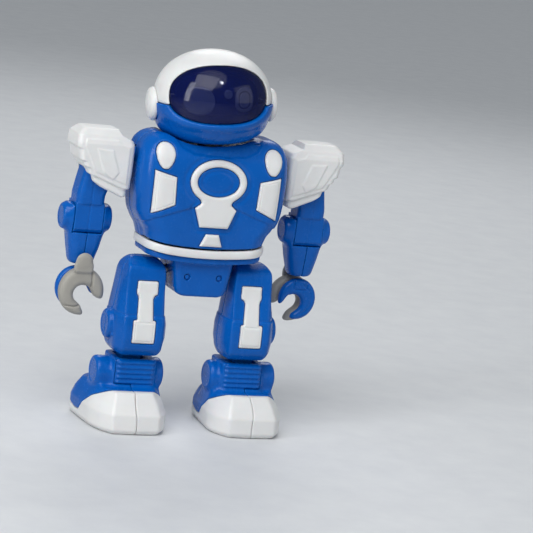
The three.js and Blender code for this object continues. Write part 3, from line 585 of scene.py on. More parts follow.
# Height, half width, front, back, corner radius.
TORSO = [
    (118.4, 38.8, -24, 19, 14),
    (124, 40.6, -24.6, 20, 14),
    (129, 43.6, -25, 20.6, 13.5),
    (136, 46.8, -25.2, 21.2, 14),
    (147, 48.2, -25, 21.6, 14),
    (160, 48.8, -24.4, 22, 14),
    (170, 48.4, -23, 22, 13.5),
    (176, 47, -20.5, 21, 12.5),
    (180.6, 44, -17, 18, 11),
    (184, 39, -12, 13, 8),
]
WAIST_DIP = 3.2  # how far the waist line sinks at the middle of the front
BELT = {"bottom": 113.1, "top": 118.1, "half": 39.1, "front": -24.5, "back": 19.3, "corner": 14.3}
SKIRT = {"bottom": 109.2, "top": 112.8, "half": 37.8, "front": -22.6, "back": 18, "corner": 12}
CHEST_SEAM = [
    (-52, 122), (-47, 126), (-38, 133), (-13.6, 141.5), (13.6, 141.5), (38, 133), (47, 126), (52, 122),
]
COLLAR = [
    (-36, 192), (-30, 183), (-25, 176.6), (-17, 173), (0, 172),
    (17, 173), (25, 176.6), (30, 183), (36, 192),
]
DOOR = {"half": 24, "bottom": 122, "top": 173, "screw": 169}
SWITCH_X, SWITCH_Z = (-31.5, -25.5), (141, 149)  # sides of the power switch's slot
EMBLEM_Z = 157.9  # centre of the ring
TRIM_BOTTOM = 119.4  # the trims of the chest end above the belt


def undipped(x, y, z):
    """The height before the waist line's dip."""
    across = np.maximum(0, 1 - (x / 39) ** 2)
    forward = smoothstep(-y, 0, 20)
    return z + WAIST_DIP * across * forward * (1 - smoothstep(z + WAIST_DIP * across * forward, 120, 150))


def torso_d(x, y, z, grow=0.0, reach=0.0, k=2.4):
    level = undipped(x, y, z)
    half = curve(level, TORSO, 1) + grow
    front = curve(level, TORSO, 2) - grow
    back = curve(level, TORSO, 3) + grow
    corner = np.maximum(curve(level, TORSO, 4) + grow, 1)
    side = rounded_rect(x, y, -half, half, front, back, corner)
    d = smax(side, level - TORSO[-1][0] - grow, k)
    return smax(d, TORSO[0][0] - reach - level, 0.4)


def chest_relief(x, y, z):
    """The belly, a little lower than the chest, with its V-shaped seam, and the collar round the neck."""
    seam = polygon_d(x, z, CHEST_SEAM + [(60, 100), (-60, 100)])
    belly = 0.8 * (1 - smoothstep(seam, -0.9, 0.2))
    line = groove(seam, 0.55, 0.75)
    collar = polygon_d(x, z, COLLAR)
    sunk = 1.1 * (1 - smoothstep(collar, -1.6, 0.3))
    halo = groove(emblem_outline(x, z) - 2.4, 1.0, 0.45)  # a shallow line that follows the emblem
    return (belly + line + sunk + halo) * (1 - smoothstep(y, -8, -2))


def dish_d(x, y, z, grow=DISH_GAP):
    """The hollow the head turns in, round about the leaning axis of the neck."""
    back = np.array(TILT.inverted())
    rise = z - NECK_Z
    u, v, w = (row[0] * x + row[1] * y + row[2] * rise for row in back)
    return smin(head_d(u, v, w + NECK_Z, grow, 1.0), np.maximum(disc_d(x, y, 0, 0, 30), 200 - z), 1)


def torso_shell_d(x, y, z):
    d = torso_d(x, y, z) + chest_relief(x, y, z)
    d = cut(d, dish_d(x, y, z), 0.9)
    hollow = cut(torso_d(x, y, z, -WALL, 4, 1.0), dish_d(x, y, z, DISH_GAP + WALL), 0.6)
    d = cut(d, hollow, 0.6)
    d = cut(d, np.maximum(disc_d(x, y, 0, 0, NECK_RADIUS + GAP), z - 190), 0.5)
    return cut(d, np.maximum(disc_d(y, z, SHOULDER[1], SHOULDER[2], 5.4), 40 - np.abs(x)), 0.5)


def emblem_outline(x, z, grow=0.0):
    ring = ellipse_d(x, z, 0, EMBLEM_Z, 18.4 + grow, 13.6 + grow)
    stalk = slab(z, 140 - grow, 147.4 + grow)
    stalk = smax(stalk, np.abs(x) - 9.7 - grow, 0.8)
    half_plate = [(-30, 144.6), (9.4, 144.6), (13.5, 141.2), (9.2, 129.5), (-30, 129.5)]
    plate = polygon_d(np.abs(x), z, half_plate) - grow
    hole = ellipse_d(x, z, 0, EMBLEM_Z, 13.8 - grow, 9.2 - grow)
    return smin(cut(smin(ring, stalk, 2.4), hole, 0.3), plate, 0.6)


def badge_outline(x, z, grow=0.0):
    return polygon_d(x, z, [(-4.2, 125.4), (4.2, 125.4), (7.4, 117.6), (-7.4, 117.6)]) - grow


def teardrop_outline(x, z, grow=0.0):
    x = np.abs(x)
    ball = disc_d(x, z, 35.2, 173.8, 5.8)
    low = [
        (31.2, 172.8), (39.2, 172.8), (38.8, 170), (37.4, 167.2),
        (36, 165.7), (34.4, 165.7), (33, 167.2), (31.6, 170),
    ]
    return smin(ball, polygon_d(x, z, low) - 1.8, 0.8) - grow


def chest_panel_outline(x, z, grow=0.0):
    x = np.abs(x)
    return polygon_d(x, z, [(27.3, 159.3), (41.2, 162.8), (40.9, 136), (26.5, 142.3)]) - grow


TRIMS = [emblem_outline, badge_outline, teardrop_outline, chest_panel_outline]


def chest_front_d(x, y, z):
    d = smax(torso_shell_d(x, y, z), y + GAP / 2, 0.5)
    floor = torso_d(x, y, z, -1 - GAP)
    pockets = None
    for outline in TRIMS:
        pocket = outline(x, z, GAP)
        pockets = pocket if pockets is None else np.minimum(pockets, pocket)
    return cut(d, smax(pockets, smax(-floor, y + 6, 0.5), 0.3), 0.7)


def door_outline(x, z, grow=0.0):
    return rounded_rect(x, z, -DOOR["half"] - grow, DOOR["half"] + grow, DOOR["bottom"] - grow,
                        DOOR["top"] + grow, 3)


def chest_back_d(x, y, z):
    """The back of the torso, with the opening for the battery door and the slot of the switch."""
    d = smax(torso_shell_d(x, y, z), GAP / 2 - y, 0.5)
    frame_line = np.abs(door_outline(x, z, 3.2))
    d = d + groove(frame_line, 0.7, 0.5) * smoothstep(y, 14, 17)
    d = cut(d, smax(door_outline(x, z, GAP), 12 - y, 0.3), 0.7)
    slot = smax(slab(x, *SWITCH_X), slab(z, *SWITCH_Z), 0.8)
    return cut(d, smax(slot, 10 - y, 0.3), 0.5)


def door_d(x, y, z):
    d = cut(torso_d(x, y, z), torso_d(x, y, z, -WALL), 0.5)
    d = smax(d, smax(door_outline(x, z), 12 - y, 0.3), 0.8)
    ribs = sum(groove(z - height, 0.8, 0.7) for height in (128, 131.5, 135)) * (np.abs(x) < 15)
    d = d + ribs * smoothstep(y, 15, 18)
    sunk = np.maximum(disc_d(x, z, 0, DOOR["screw"], 3.6), 19.4 - y)
    return cut(cut(d, sunk, 0.5), np.maximum(disc_d(x, z, 0, DOOR["screw"], 2.9), 12 - y), 0.3)


def trim_d(outline, proud, border=0.0):
    def shape(x, y, z):
        line = outline(x, z)
        top = torso_d(x, y, z, proud) + groove(line + border, 0.35, 0.3) * (border > 0)
        plate = smax(line, top, 1.9)
        plate = smax(plate, -torso_d(x, y, z, -1), 0.3)
        return np.maximum(smax(plate, TRIM_BOTTOM - undipped(x, y, z), 0.5), y - FACE_Y)
    return shape


single("chest_front", "torso", "blue_plastic", chest_front_d, (-50, -27, 112), (50, 1, 186), 0.65)
single("chest_back", "torso", "blue_plastic", chest_back_d, (-50, -1, 112), (50, 24, 186), 0.75)
single("battery_door", "torso", "blue_plastic", door_d, (-26, 10, 120), (26, 24, 175), 0.6)
single("chest_emblem", "torso", "white_plastic", trim_d(emblem_outline, 1.1),
       (-20, -28, 128), (20, -18, 173), 0.35)
single("chest_badge", "torso", "white_plastic", trim_d(badge_outline, 0.9),
       (-9, -28, 113), (9, -18, 127), 0.3)
pair("teardrop", "torso", "white_plastic", trim_d(teardrop_outline, 1.2),
     (28, -27, 162), (43, -8, 181), 0.35)
pair("chest_panel", "torso", "white_plastic", trim_d(chest_panel_outline, 0.9, 1.7),
     (25, -27, 134), (43, -8, 165), 0.35)


def belt_d(x, y, z):
    level = undipped(x, y, z)
    side = rounded_rect(x, y, -BELT["half"], BELT["half"], BELT["front"], BELT["back"], BELT["corner"])
    bulge = 0.35 * np.cos(np.clip((level - 115.6) / 2.5, -1, 1) * math.pi / 2)
    return cut(smax(side - bulge, slab(level, BELT["bottom"], BELT["top"]), 0.6), side + 3, 0.4)


single("waist_belt", "torso", "white_plastic", belt_d, (-42, -28, 108), (42, 22, 120), 0.5)

# Height and half width of the hip block.
HIP_BLOCK = [(84.5, 13.6), (86.5, 16), (89.5, 17.2), (107, 19.8), (112, 20.4)]
HIP_FRONT, HIP_REAR = -18.6, 14  # its front and back faces
PLUG = {"x": 10.5, "z": 96.8}  # the plugged screw hole on the left, which has a mirror image


def pelvis_d(x, y, z):
    level = undipped(x, y, z)
    skirt = rounded_rect(x, y, -SKIRT["half"], SKIRT["half"], SKIRT["front"], SKIRT["back"],
                         SKIRT["corner"])
    tray = smax(skirt, slab(level, SKIRT["bottom"], SKIRT["top"]), 1.2)
    tray = cut(tray, np.maximum(skirt + WALL, SKIRT["bottom"] + 1.6 - level), 0.4)

    def block(grow):
        half = np.interp(z, [b[0] for b in HIP_BLOCK], [b[1] for b in HIP_BLOCK]) + grow
        side = rounded_rect(x, y, -half, half, HIP_FRONT - grow, HIP_REAR + grow, 4 + grow)
        return smax(side, HIP_BLOCK[0][0] - grow - z, 2.2)

    d = smin(tray, smax(block(0.0), level - SKIRT["bottom"] - 1, 0.5), 2.0)
    well = box_d(x, y, z, (-17.8, -18, 108), (16, 11, 130), 0.4)
    d = cut(d, np.minimum(smax(block(-WALL), z - 130, 0.3), well), 0.4)
    d = cut(d, np.maximum(disc_d(y, z, HIP[1], HIP[2], PIN_BORE), np.abs(x) - 25), 0.4)
    for side in (-PLUG["x"], PLUG["x"]):  # plugged screw holes, each with its boss behind
        d = smin(d, bar_y(x, y, z, 3.4, -18.2, -15, side, PLUG["z"], 0.4), 0.6)
        ring = np.abs(disc_d(x, z, side, PLUG["z"], 1.75)) - 0.42
        centre = disc_d(x, z, side, PLUG["z"], 1.6)
        d = cut(d, np.maximum(ring, y + 17.3), 0.2)
        d = cut(d, np.maximum(centre, y + 18.1), 0.2)
    return d


def pelvis_front_d(x, y, z):
    return smax(pelvis_d(x, y, z), y - HIP[1] + GAP / 2, 0.4)


def pelvis_back_d(x, y, z):
    return smax(pelvis_d(x, y, z), HIP[1] + GAP / 2 - y, 0.4)


single("pelvis_front", "torso", "blue_plastic", pelvis_front_d, (-40, -25, 82), (40, 1, 114), 0.4)
single("pelvis_back", "torso", "blue_plastic", pelvis_back_d, (-40, -3, 82), (40, 20, 114), 0.6)

# ---- Legs ------------------------------------------------------------------------------------

# Height, inner side, outer side, front, back.
LEG = [
    (45.2, 22.4, 48.6, -17.2, 9),
    (49.5, 20.8, 51.4, -21, 10),
    (57, 19.2, 52, -22.2, 10.6),
    (66, 19.2, 52, -21.6, 11),
    (72, 20.4, 51.8, -20.2, 11),
    (86, 21.4, 50, -17, 11.4),
    (97, 22, 48.8, -15.8, 11.4),
    (101, 23, 47.8, -14.6, 10),
    (105.4, 25, 45.6, -6, 5),
]
LEG_FACE = (22.9, 47.5)  # flat front of the leg casing
LEG_STEP = 71.4  # the casing is a little fuller below this
KNEE = (-4.5, 62.5)  # y and z of the round cap on the outer side
LEG_SPLIT = HIP[1] - 4.9  # between the front and the rear half of the casing


def level_of(z, levels, column, blur):
    """Straight between the levels, with each crease softened."""
    xs = [level[0] for level in levels]
    ys = [level[column] for level in levels]
    samples = ((-1, 0.25), (0, 0.5), (1, 0.25))
    return sum(share * np.interp(z + shift * blur, xs, ys) for shift, share in samples)


def facet(u, v, u0, v0, u1, v1):
    """Distance beyond the straight line from one point to the other, on its right-hand side."""
    du, dv = u1 - u0, v1 - v0
    return ((u - u0) * dv - (v - v0) * du) / np.sqrt(du * du + dv * dv)


def leg_d(x, y, z, grow=0.0, reach=0.0):
    k = 1.6  # rounding of the long edges
    x0 = level_of(z, LEG, 1, 1.3) - grow
    x1 = level_of(z, LEG, 2, 1.3) + grow
    y0 = level_of(z, LEG, 3, 1.3) - grow
    y1 = level_of(z, LEG, 4, 1.3) + grow
    inner = np.maximum(LEG_FACE[0], x0 + grow) - grow * 0.4
    outer = np.minimum(LEG_FACE[1], x1 - grow) + grow * 0.4
    d = smax(slab(x, x0, x1), slab(y, y0, y1), k)
    d = smax(d, facet(x, y, outer, y0, x1, y0 + 6.5), k)
    d = smax(d, facet(x, y, x0, y0 + 6.5, inner, y0), k)
    d = smax(d, facet(x, y, x1, y1 - 5, x1 - 5, y1), k * 1.6)
    d = smax(d, facet(x, y, x0 + 5, y1, x0, y1 - 8), k * 1.6)
    return smax(d, slab(z, LEG[0][0] - reach, LEG[-1][0] + grow), 3.0 if grow == 0 else 1.0)


def leg_panel_outline(x, z, grow=0.0):
    top = rounded_rect(x, z, 27.6 - grow, 41 + grow, 84 - grow, 92.4 + grow, 1.1)
    waist = [(28, 86.6), (40.9, 86.6), (39.9, 81.5), (40.3, 66), (29.7, 66), (30.4, 81.5)]
    neck = polygon_d(x, z, waist) - grow
    foot = rounded_rect(x, z, 28 - grow, 42.6 + grow, 54.2 - grow, 68.6 + grow, 1.1)
    return smin(smin(top, neck, 1.2), foot, 0.5)


def leg_shell_d(x, y, z):
    crease = groove(z - LEG_STEP, 0.6, 0.3) * (1 - smoothstep(y, -12, -10))
    fuller = 0.4 * (1 - smoothstep(z, LEG_STEP - 0.8, LEG_STEP)) * smoothstep(z, 47, 51)
    d = smin(leg_d(x, y, z) + crease - fuller, bar_x(x, y, z, 9.2, 40, 55.8, KNEE[0], KNEE[1], 2.8), 1.6)
    cap = disc_d(y, z, KNEE[0], KNEE[1], 5.4)
    d = d + cap_relief(cap, 0.4) * (x > 54)
    return cut(d, leg_d(x, y, z, -WALL, 4), 0.5)


def leg_front_d(x, y, z):
    d = smax(leg_shell_d(x, y, z), y - LEG_SPLIT + GAP, 0.5)
    pocket = smax(leg_panel_outline(x, z, GAP), smax(-leg_d(x, y, z, -1 - GAP), y - FACE_Y, 0.3), 0.3)
    return cut(d, pocket, 0.5)


def leg_back_d(x, y, z):
    d = smax(leg_shell_d(x, y, z), LEG_SPLIT - y, 0.5)
    d = smin(d, bar_x(x, y, z, 4.9, 23.4, 40, HIP[1], HIP[2], 0.4), 0.8)
    recess = rounded_rect(x, z, 29, 43, 62, 92, 3)
    d = d + 0.6 * (1 - smoothstep(recess, -1.0, 0.2)) * smoothstep(y, 6, 8)
    return cut(d, bar_x(x, y, z, PIN_BORE, 10, 38, HIP[1], HIP[2], 0.3), 0.3)


def leg_panel_d(x, y, z):
    line = leg_panel_outline(x, z)
    top = leg_d(x, y, z, 0.9) + groove(line + 1.5, 0.35, 0.3) * (z < 68.4)
    plate = smax(line, top, 1.8)
    return np.maximum(smax(plate, -leg_d(x, y, z, -1), 0.3), y - FACE_Y)


pair("leg_front", "leg_{}", "blue_plastic", leg_front_d, (17, -24, 43), (58, -5, 107), 0.6)
pair("leg_back", "leg_{}", "blue_plastic", leg_back_d, (17, -7, 43), (58, 13, 107), 0.65)
pair("leg_panel", "leg_{}", "white_plastic", leg_panel_d, (26, -25, 53), (44, -12, 94), 0.35)

# ---- Boots -----------------------------------------------------------------------------------

BOOT_X = 38.2
HEEL_X = 41
# Height, half width, toe, centre of the round heel, heel depth behind that centre.
BOOT = [
    (0, 22.6, -35.2, 12, 17),
    (2.6, 24.4, -37.2, 12, 19),
    (12, 24.6, -36.4, 12, 19),
    (18, 22.6, -32.6, 11, 17.4),
    (24.6, 19, -27, 9, 13),
]
ANKLE_BLOCK = {"x": 35.6, "half": 13.6, "front": -17.4, "back": 9, "top": 42.6}
SOLE_LINE = [
    (-60, 25), (-24, 25), (-13, 18.6), (-5, 12), (0, 6),
    (6, 5.4), (20, 8), (60, 12), (60, -20), (-60, -20),
]


def boot_d(x, y, z):
    half = level_of(z, BOOT, 1, 0.9)
    toe = level_of(z, BOOT, 2, 0.9)
    centre = level_of(z, BOOT, 3, 0.9)
    depth = level_of(z, BOOT, 4, 0.9)
    middle = BOOT_X + (HEEL_X - BOOT_X) * np.clip((y - toe - 11) / (centre - toe - 11), 0, 1)
    behind = np.maximum(y - centre, 0) / depth
    side = (np.sqrt(((x - middle) / half) ** 2 + behind**2) - 1) * half
    bow = 0.8 * (1 - np.minimum(np.abs(x - BOOT_X) / (0.62 * half), 1))
    d = smax(side, facet(x, y, BOOT_X + 0.62 * half, toe, BOOT_X + half, toe + 11), 7)
    d = smax(d, facet(x, y, BOOT_X - half, toe + 11, BOOT_X - 0.62 * half, toe), 7)
    d = smax(d, toe - bow - y, 1.2)
    return smax(d, slab(z, 0, 24.6), 1.4)


def ankle_d(x, y, z):
    block = ANKLE_BLOCK
    flare = 1 - np.clip((z - 20) / 7, 0, 1)
    flare = flare * flare
    x0 = block["x"] - block["half"] - 1.8 * flare
    x1 = block["x"] + block["half"] + 4.4 * flare
    side = rounded_rect(x, y, x0, x1, block["front"] - 7 * flare, block["back"] + 6 * flare, 4)
    d = smax(side, slab(z, 19, block["top"]), 1.4)
    panel = rounded_rect(x, z, block["x"] - 12.6, block["x"] + 12.6, 26.2, 42.4, 0.8)
    recess = 0.8 * (1 - smoothstep(panel, -0.7, 0.1))
    ridges = 0.4 * (1 - np.cos((z - 26.6) / 3.1 * 2 * math.pi)) * (panel < -0.6)
    return d + (recess - ridges) * (1 - smoothstep(y, -14.5, -12.5))


def ankle_disc_d(x, y, z):
    d = bar_x(x, y, z, 9.6, 15.4, 59.4, ANKLE[1], ANKLE[2], 3.0)
    dish = disc_d(y, z, ANKLE[1], ANKLE[2], 6.2)
    return d + cap_relief(dish, 0.45) * (np.abs(x - 37.4) > 19)


def whole_boot_d(x, y, z):
    d = smin(boot_d(x, y, z), ankle_d(x, y, z), 3.0)
    shoulder = box_d(x, y, z, (17.6, ANKLE[1] - 8.8, 18), (56.6, ANKLE[1] + 8.8, ANKLE[2] + 2), 3.0)
    d = smin(smin(d, shoulder, 5.0), ankle_disc_d(x, y, z), 2.0)
    well = box_d(x, y, z, (ANKLE[0] - 8, ANKLE[1] - 8.4, 23), (ANKLE[0] + 8, ANKLE[1] + 8.4, 60), 0.6)
    d = cut(d, well, 0.6)
    pin = bar_x(x, y, z, PIN_BORE, ANKLE[0] - 17.4, ANKLE[0] + 17.4, ANKLE[1], ANKLE[2], 0.3)
    return cut(d, pin, 0.3)


def boot_part(above, outer):
    def shape(x, y, z):
        # The halves meet along a line that wanders a little.
        seam = 0.45 * np.sin((z + y * 0.3) / 26 * 2 * math.pi)
        parting = polygon_d(y, z, SOLE_LINE)
        d = whole_boot_d(x, y, z)
        d = smax(d, (-parting if above else parting) + GAP / 2, 0.7)
        panel = np.maximum(26.9 - z, y + 13)  # the ribbed panel stays whole, on the inner half
        side = np.minimum(x - BOOT_X - seam, np.maximum(panel, x - ANKLE_BLOCK["x"] - 12.8))
        return smax(d, (-side if outer else side) + GAP / 2, 0.45)
    return shape


for half, outer in (("outer", True), ("inner", False)):
    lo_x, hi_x = (37, 67) if outer else (12, 48)
    pair(f"boot_upper_{half}", "foot_{}", "blue_plastic", boot_part(True, outer),
         (lo_x, -30, 4), (hi_x, 33, 45), 0.6)
    pair(f"boot_sole_{half}", "foot_{}", "white_plastic", boot_part(False, outer),
         (lo_x, -39, -2), (hi_x, 33, 27), 0.6)

# ---- Arms ------------------------------------------------------------------------------------

# Height, inner side, outer side, front, back.
PAULDRON = [
    (141.6, 55, 72, -9, 12),
    (143, 52.8, 75.4, -9.6, 14.4),
    (146.8, 52.8, 76.6, -9.2, 15.4),
    (147.5, 51.4, 79, -10.6, 16),
    (154, 51.2, 80.4, -10.9, 16.2),
    (154.9, 51.1, 82, -11, 16.3),
    (161, 51, 82.8, -11, 16.4),
    (161.8, 51, 84.8, -11, 16.4),
    (170.4, 51.1, 86.2, -11, 16.1),
    (171.2, 51.1, 87.5, -11, 16.1),
    (174, 51.2, 87.8, -11, 16),
    (179, 53, 87.4, -9.6, 14.6),
    (183, 54.4, 83.6, -5.6, 11),
]
PAULDRON_FACE = [
    (53.5, 148.5), (75.5, 156), (84.5, 172), (83.6, 178), (61.6, 178), (59.4, 175.6), (53.5, 174),
]
PAULDRON_SHIELD = [(65.2, 171), (76, 171.6), (70.2, 156.6), (63.4, 152.4), (60, 157.4)]
UPPER_ARM = [
    (134.8, 63.9, 82.1, -4.2, 13),
    (141, 63.9, 82.1, -4.6, 13),
    (150, 61, 80.6, -5, 13),
    (174, 58, 77, -6, 10),
]
FOREARM = [
    (97.2, 66.4, 79.6, 0, 12),
    (98.6, 65.2, 80.8, -1.2, 13.2),
    (108, 62.8, 82.6, -2.6, 14.4),
    (118, 61, 84.2, -3.6, 15.4),
    (134, 60.4, 84.8, -3.8, 15.6),
]
ARM_CORNER = 4
NOSE_HALF = 9.1  # half width of the upper arm's nose, in the forearm's slot


def section_d(x, y, z, levels, grow, corner, k, blur=0.8, rim=None):
    """A block with the given levels. With a rim, its lower levels rise towards the outside."""
    level = z
    if rim is not None:
        for _ in range(3):
            level = z - rim * np.maximum(0, x - 56) * (1 - smoothstep(level, 142, 168))
    x0 = level_of(level, levels, 1, blur) - grow
    x1 = level_of(level, levels, 2, blur) + grow
    y0 = level_of(level, levels, 3, blur) - grow
    y1 = level_of(level, levels, 4, blur) + grow
    side = rounded_rect(x, y, x0, x1, y0, y1, corner + grow)
    return smax(side, slab(level, levels[0][0] - grow, levels[-1][0] + grow), k)


def pauldron_d(x, y, z):
    outer = section_d(x, y, z, PAULDRON, 0.0, 3.2, 1.4, 0.35, 0.42)
    face = polygon_d(x, z, PAULDRON_FACE)
    shield = polygon_d(x, z, PAULDRON_SHIELD)
    front = 1 - smoothstep(y, -7, -4)
    rear = smoothstep(y, 10, 12)
    raised = 0.5 * (1 - smoothstep(face, -1.8, -0.4)) + 0.45 * (1 - smoothstep(shield, -0.9, 0.3))
    outer = outer - raised * (front + rear)
    step = polygon_d(x, z, [(46, 174.2), (51, 176.2), (59.6, 179.8), (61, 182.4), (61.6, 192), (46, 192)])
    outer = cut(outer, step, 0.7)
    inner = section_d(x, y, z, PAULDRON, -2.0, 3.2, 0.8, 0.35, 0.42)
    inner = cut(inner, step - WALL, 0.8)
    inner = np.minimum(inner, box_d(x, y, z, (54.8, -7, 130), (73, 11, 152), 0.8))
    inner = np.minimum(inner, section_d(x, y, z, UPPER_ARM, GAP, ARM_CORNER, 0.8))
    d = cut(outer, inner, 0.5)
    return cut(d, bar_x(x, y, z, 5.2, 40, 56, SHOULDER[1], SHOULDER[2], 0.3), 0.4)


NOSE = [
    (ELBOW[1] - 9.4, 136), (ELBOW[1] - 9.4, 120), (ELBOW[1] - 7.6, 117.6), (ELBOW[1] - 4.6, 116.9),
    (ELBOW[1], 119), (ELBOW[1] + 4.9, 121), (ELBOW[1] + 7, 126), (ELBOW[1] + 7, 136),
]


def upper_arm_d(x, y, z):
    d = section_d(x, y, z, UPPER_ARM, 0.0, ARM_CORNER, 1.6)
    d = smin(d, smax(polygon_d(y, z, NOSE), np.abs(x - ELBOW[0]) - NOSE_HALF, 0.3), 0.4)
    d = smin(d, bar_x(x, y, z, 4.6, 44.6, 62, SHOULDER[1], SHOULDER[2], 0.5), 0.8)
    d = smin(d, bar_x(x, y, z, 7, 41.8, 44.6, SHOULDER[1], SHOULDER[2], 0.6), 0.4)
    bore = bar_x(x, y, z, 2.2, ELBOW[0] - 12, ELBOW[0] + 12, ELBOW[1], ELBOW[2], 0.2)
    ridge = groove(x - ELBOW[0], 0.5, 0.3) * (1 - smoothstep(y, -3, 0))
    return cut(d + ridge, bore, 0.3)


def forearm_d(x, y, z, pocket_in_front):
    d = section_d(x, y, z, FOREARM, 0.0, ARM_CORNER + 2, 1.4, 1.2)
    boss = bar_x(x, y, z, 7.8, ELBOW[0] - 15.6, ELBOW[0] + 15.6, ELBOW[1], ELBOW[2], 2.2)
    ring = disc_d(y, z, ELBOW[1], ELBOW[2], 4.6)
    d = smin(d, boss + cap_relief(ring, 0.4) * (np.abs(x - ELBOW[0]) > 13.5), 4.5)
    reach = NOSE_HALF + GAP
    slot = box_d(x, y, z, (ELBOW[0] - reach, ELBOW[1] - 20, 117.3),
                 (ELBOW[0] + reach, ELBOW[1] + 7.4, 160), 0.4)
    sweep = smax(bar_x(x, y, z, 11.7, ELBOW[0] - reach, ELBOW[0] + reach, ELBOW[1], ELBOW[2], 0.3),
                 y - ELBOW[1] - 7.4, 0.3)
    d = cut(cut(d, slot, 0.2), sweep, 0.2)
    d = smin(d, bar_x(x, y, z, 1.9, ELBOW[0] - 11, ELBOW[0] + 11, ELBOW[1], ELBOW[2], 0.3), 0.3)
    away = WRIST[1] - y if pocket_in_front else y - WRIST[1]
    pocket = np.maximum(disc_d(x, z, WRIST[0], WRIST[2], 7.2), 8.6 - away)
    bore = np.maximum(disc_d(x, z, WRIST[0], WRIST[2], 2.5), -1 - away)
    return cut(cut(d, pocket, 0.5), bore, 0.3)


def forearm_half(outer, pocket_in_front):
    def shape(x, y, z):
        side = x - ELBOW[0]
        return smax(forearm_d(x, y, z, pocket_in_front), (-side if outer else side) + GAP / 2, 0.5)
    return shape


pair("pauldron", "arm_{}", "white_plastic", pauldron_d, (49, -13, 139), (90, 19, 186), 0.5)
pair("upper_arm", "arm_{}", "blue_plastic", upper_arm_d, (40, -8, 115), (85, 15, 177), 0.55)
for half, outer in (("outer", True), ("inner", False)):
    lo = (72 if outer else 56, -8, 95)
    hi = (90 if outer else 74, 18, 136)
    for side, pocket_in_front in (("left", False), ("right", True)):
        points, quads, edge = surface(forearm_half(outer, pocket_in_front), lo, hi, 0.5)
        if side == "right":
            points, quads = mirrored(points, quads)
        node = f"forearm_{half}_{side}"
        add(f"{node}_moulded", f"forearm_{side}", "blue_plastic", points, quads, edge, node)

# ---- Hands -----------------------------------------------------------------------------------

GRIP = {"x": 71.4, "z": 79, "radius": 5.6}
GREY_PALM, BLUE_PALM = (72, 80.8), (74, 81.8)  # centres of the halves
MOUTH = [(71.4, 79), (60.4, 76.8), (50, 72), (54, 56), (67.4, 63.6), (72.4, 73.6)]
HAND_FRONT = WRIST[1] - 10.6
HAND_MIDDLE = WRIST[1] - 2.4
HAND_BACK = WRIST[1] + 3.8
LUG = 6.4  # radius of the wrist lug
LUG_BACK = WRIST[1] - 9
THUMB = [(61.4, 75.4), (70, 74), (68, 83.6)]  # the thumb narrows to its tip along this


def hooked(outline, x, z):
    """The outline with the round grip, the mouth and the tapering of the thumb taken out."""
    hook = cut(outline, disc_d(x, z, GRIP["x"], GRIP["z"], GRIP["radius"]), 1.6)
    hook = cut(hook, polygon_d(x, z, MOUTH), 2.4)
    return cut(hook, polygon_d(x, z, THUMB), 1.6)


def claw_grey_d(x, y, z):
    d = smax(hooked(ellipse_d(x, z, *GREY_PALM, 14.4, 15), x, z), slab(y, HAND_FRONT, HAND_MIDDLE), 4.2)
    thumb = line_d(x, z, [(67.4, 97), (66.6, 90), (66.4, 84)])
    seam = line_d(x, z, [(70, 72.6), (76, 71.4), (84, 72)])
    line = groove(thumb, 0.55, 0.8) + groove(seam, 0.5, 0.7)
    d = d + line * (1 - smoothstep(y, -3.4, -1.6))
    lug = bar_y(x, y, z, LUG, WRIST[1] - 12.3, LUG_BACK, WRIST[0], WRIST[2], 5.0)
    stem = box_d(x, y, z, (WRIST[0] - LUG, WRIST[1] - 12, 92.4),
                 (WRIST[0] + LUG, LUG_BACK, WRIST[2]), 2.6)
    d = smin(d, smin(lug, stem, 0.6), 0.9)
    return smin(d, bar_y(x, y, z, 2.2, WRIST[1] - 10, WRIST[1], WRIST[0], WRIST[2], 0.4), 0.4)


def claw_blue_d(x, y, z):
    palm = hooked(ellipse_d(x, z, *BLUE_PALM, 12.6, 13.4), x, z)
    d = smax(palm, slab(y, HAND_MIDDLE + GAP, HAND_BACK), 3.4)
    bar = np.abs(rounded_rect(x, z, 70.4, 79.4, 88, 99, 1))
    arc = np.abs(ellipse_d(x, z, *BLUE_PALM, 8.9, 9.7)) + 40 * (x < 76)
    return d + (groove(bar, 0.5, 0.6) + groove(arc, 0.6, 0.4)) * smoothstep(y, 7.4, 9)


for colour, shape, lo, hi in (
    ("grey", claw_grey_d, (55, -8, 63), (88, 8, 108)),
    ("blue", claw_blue_d, (58, 2, 66), (88, 12, 97)),
):
    points, quads, edge = surface(shape, lo, hi, 0.4)
    node, material = f"claw_{colour}", f"{colour}_plastic"
    right = mirrored(points, quads)
    add(f"{node}_right_moulded", "hand_right", material, *right, edge, f"{node}_right")
    # The left hand is the same moulding, turned round.
    points = points * np.array([1, -1, 1]) + np.array([0, 2 * WRIST[1], 0])
    add(f"{node}_left_moulded", "hand_left", material, points, quads[:, ::-1], edge, f"{node}_left")

# ---- Pieces kept from the frame --------------------------------------------------------------

KEPT = {
    "nylon": ["neck_stem", "motor_pinion", "drive_gear"],
    "black_plastic": ["battery_tray", "power_switch"],
    "battery_jacket": ["battery_1", "battery_2", "battery_3"],
    "steel": ["door_screw", "drive_motor", "hip_pin_left", "hip_pin_right"],
    "circuit_board": ["circuit_board"],
    "blue_plastic": ["ankle_tongue_left", "ankle_tongue_right"],
}
for material, names in KEPT.items():
    for name in names:
        node = frame["nodes"][name]
        node.data.materials.clear()
        node.data.materials.append(MATERIALS[material])

# ---- Floor, lights and camera ----------------------------------------------------------------


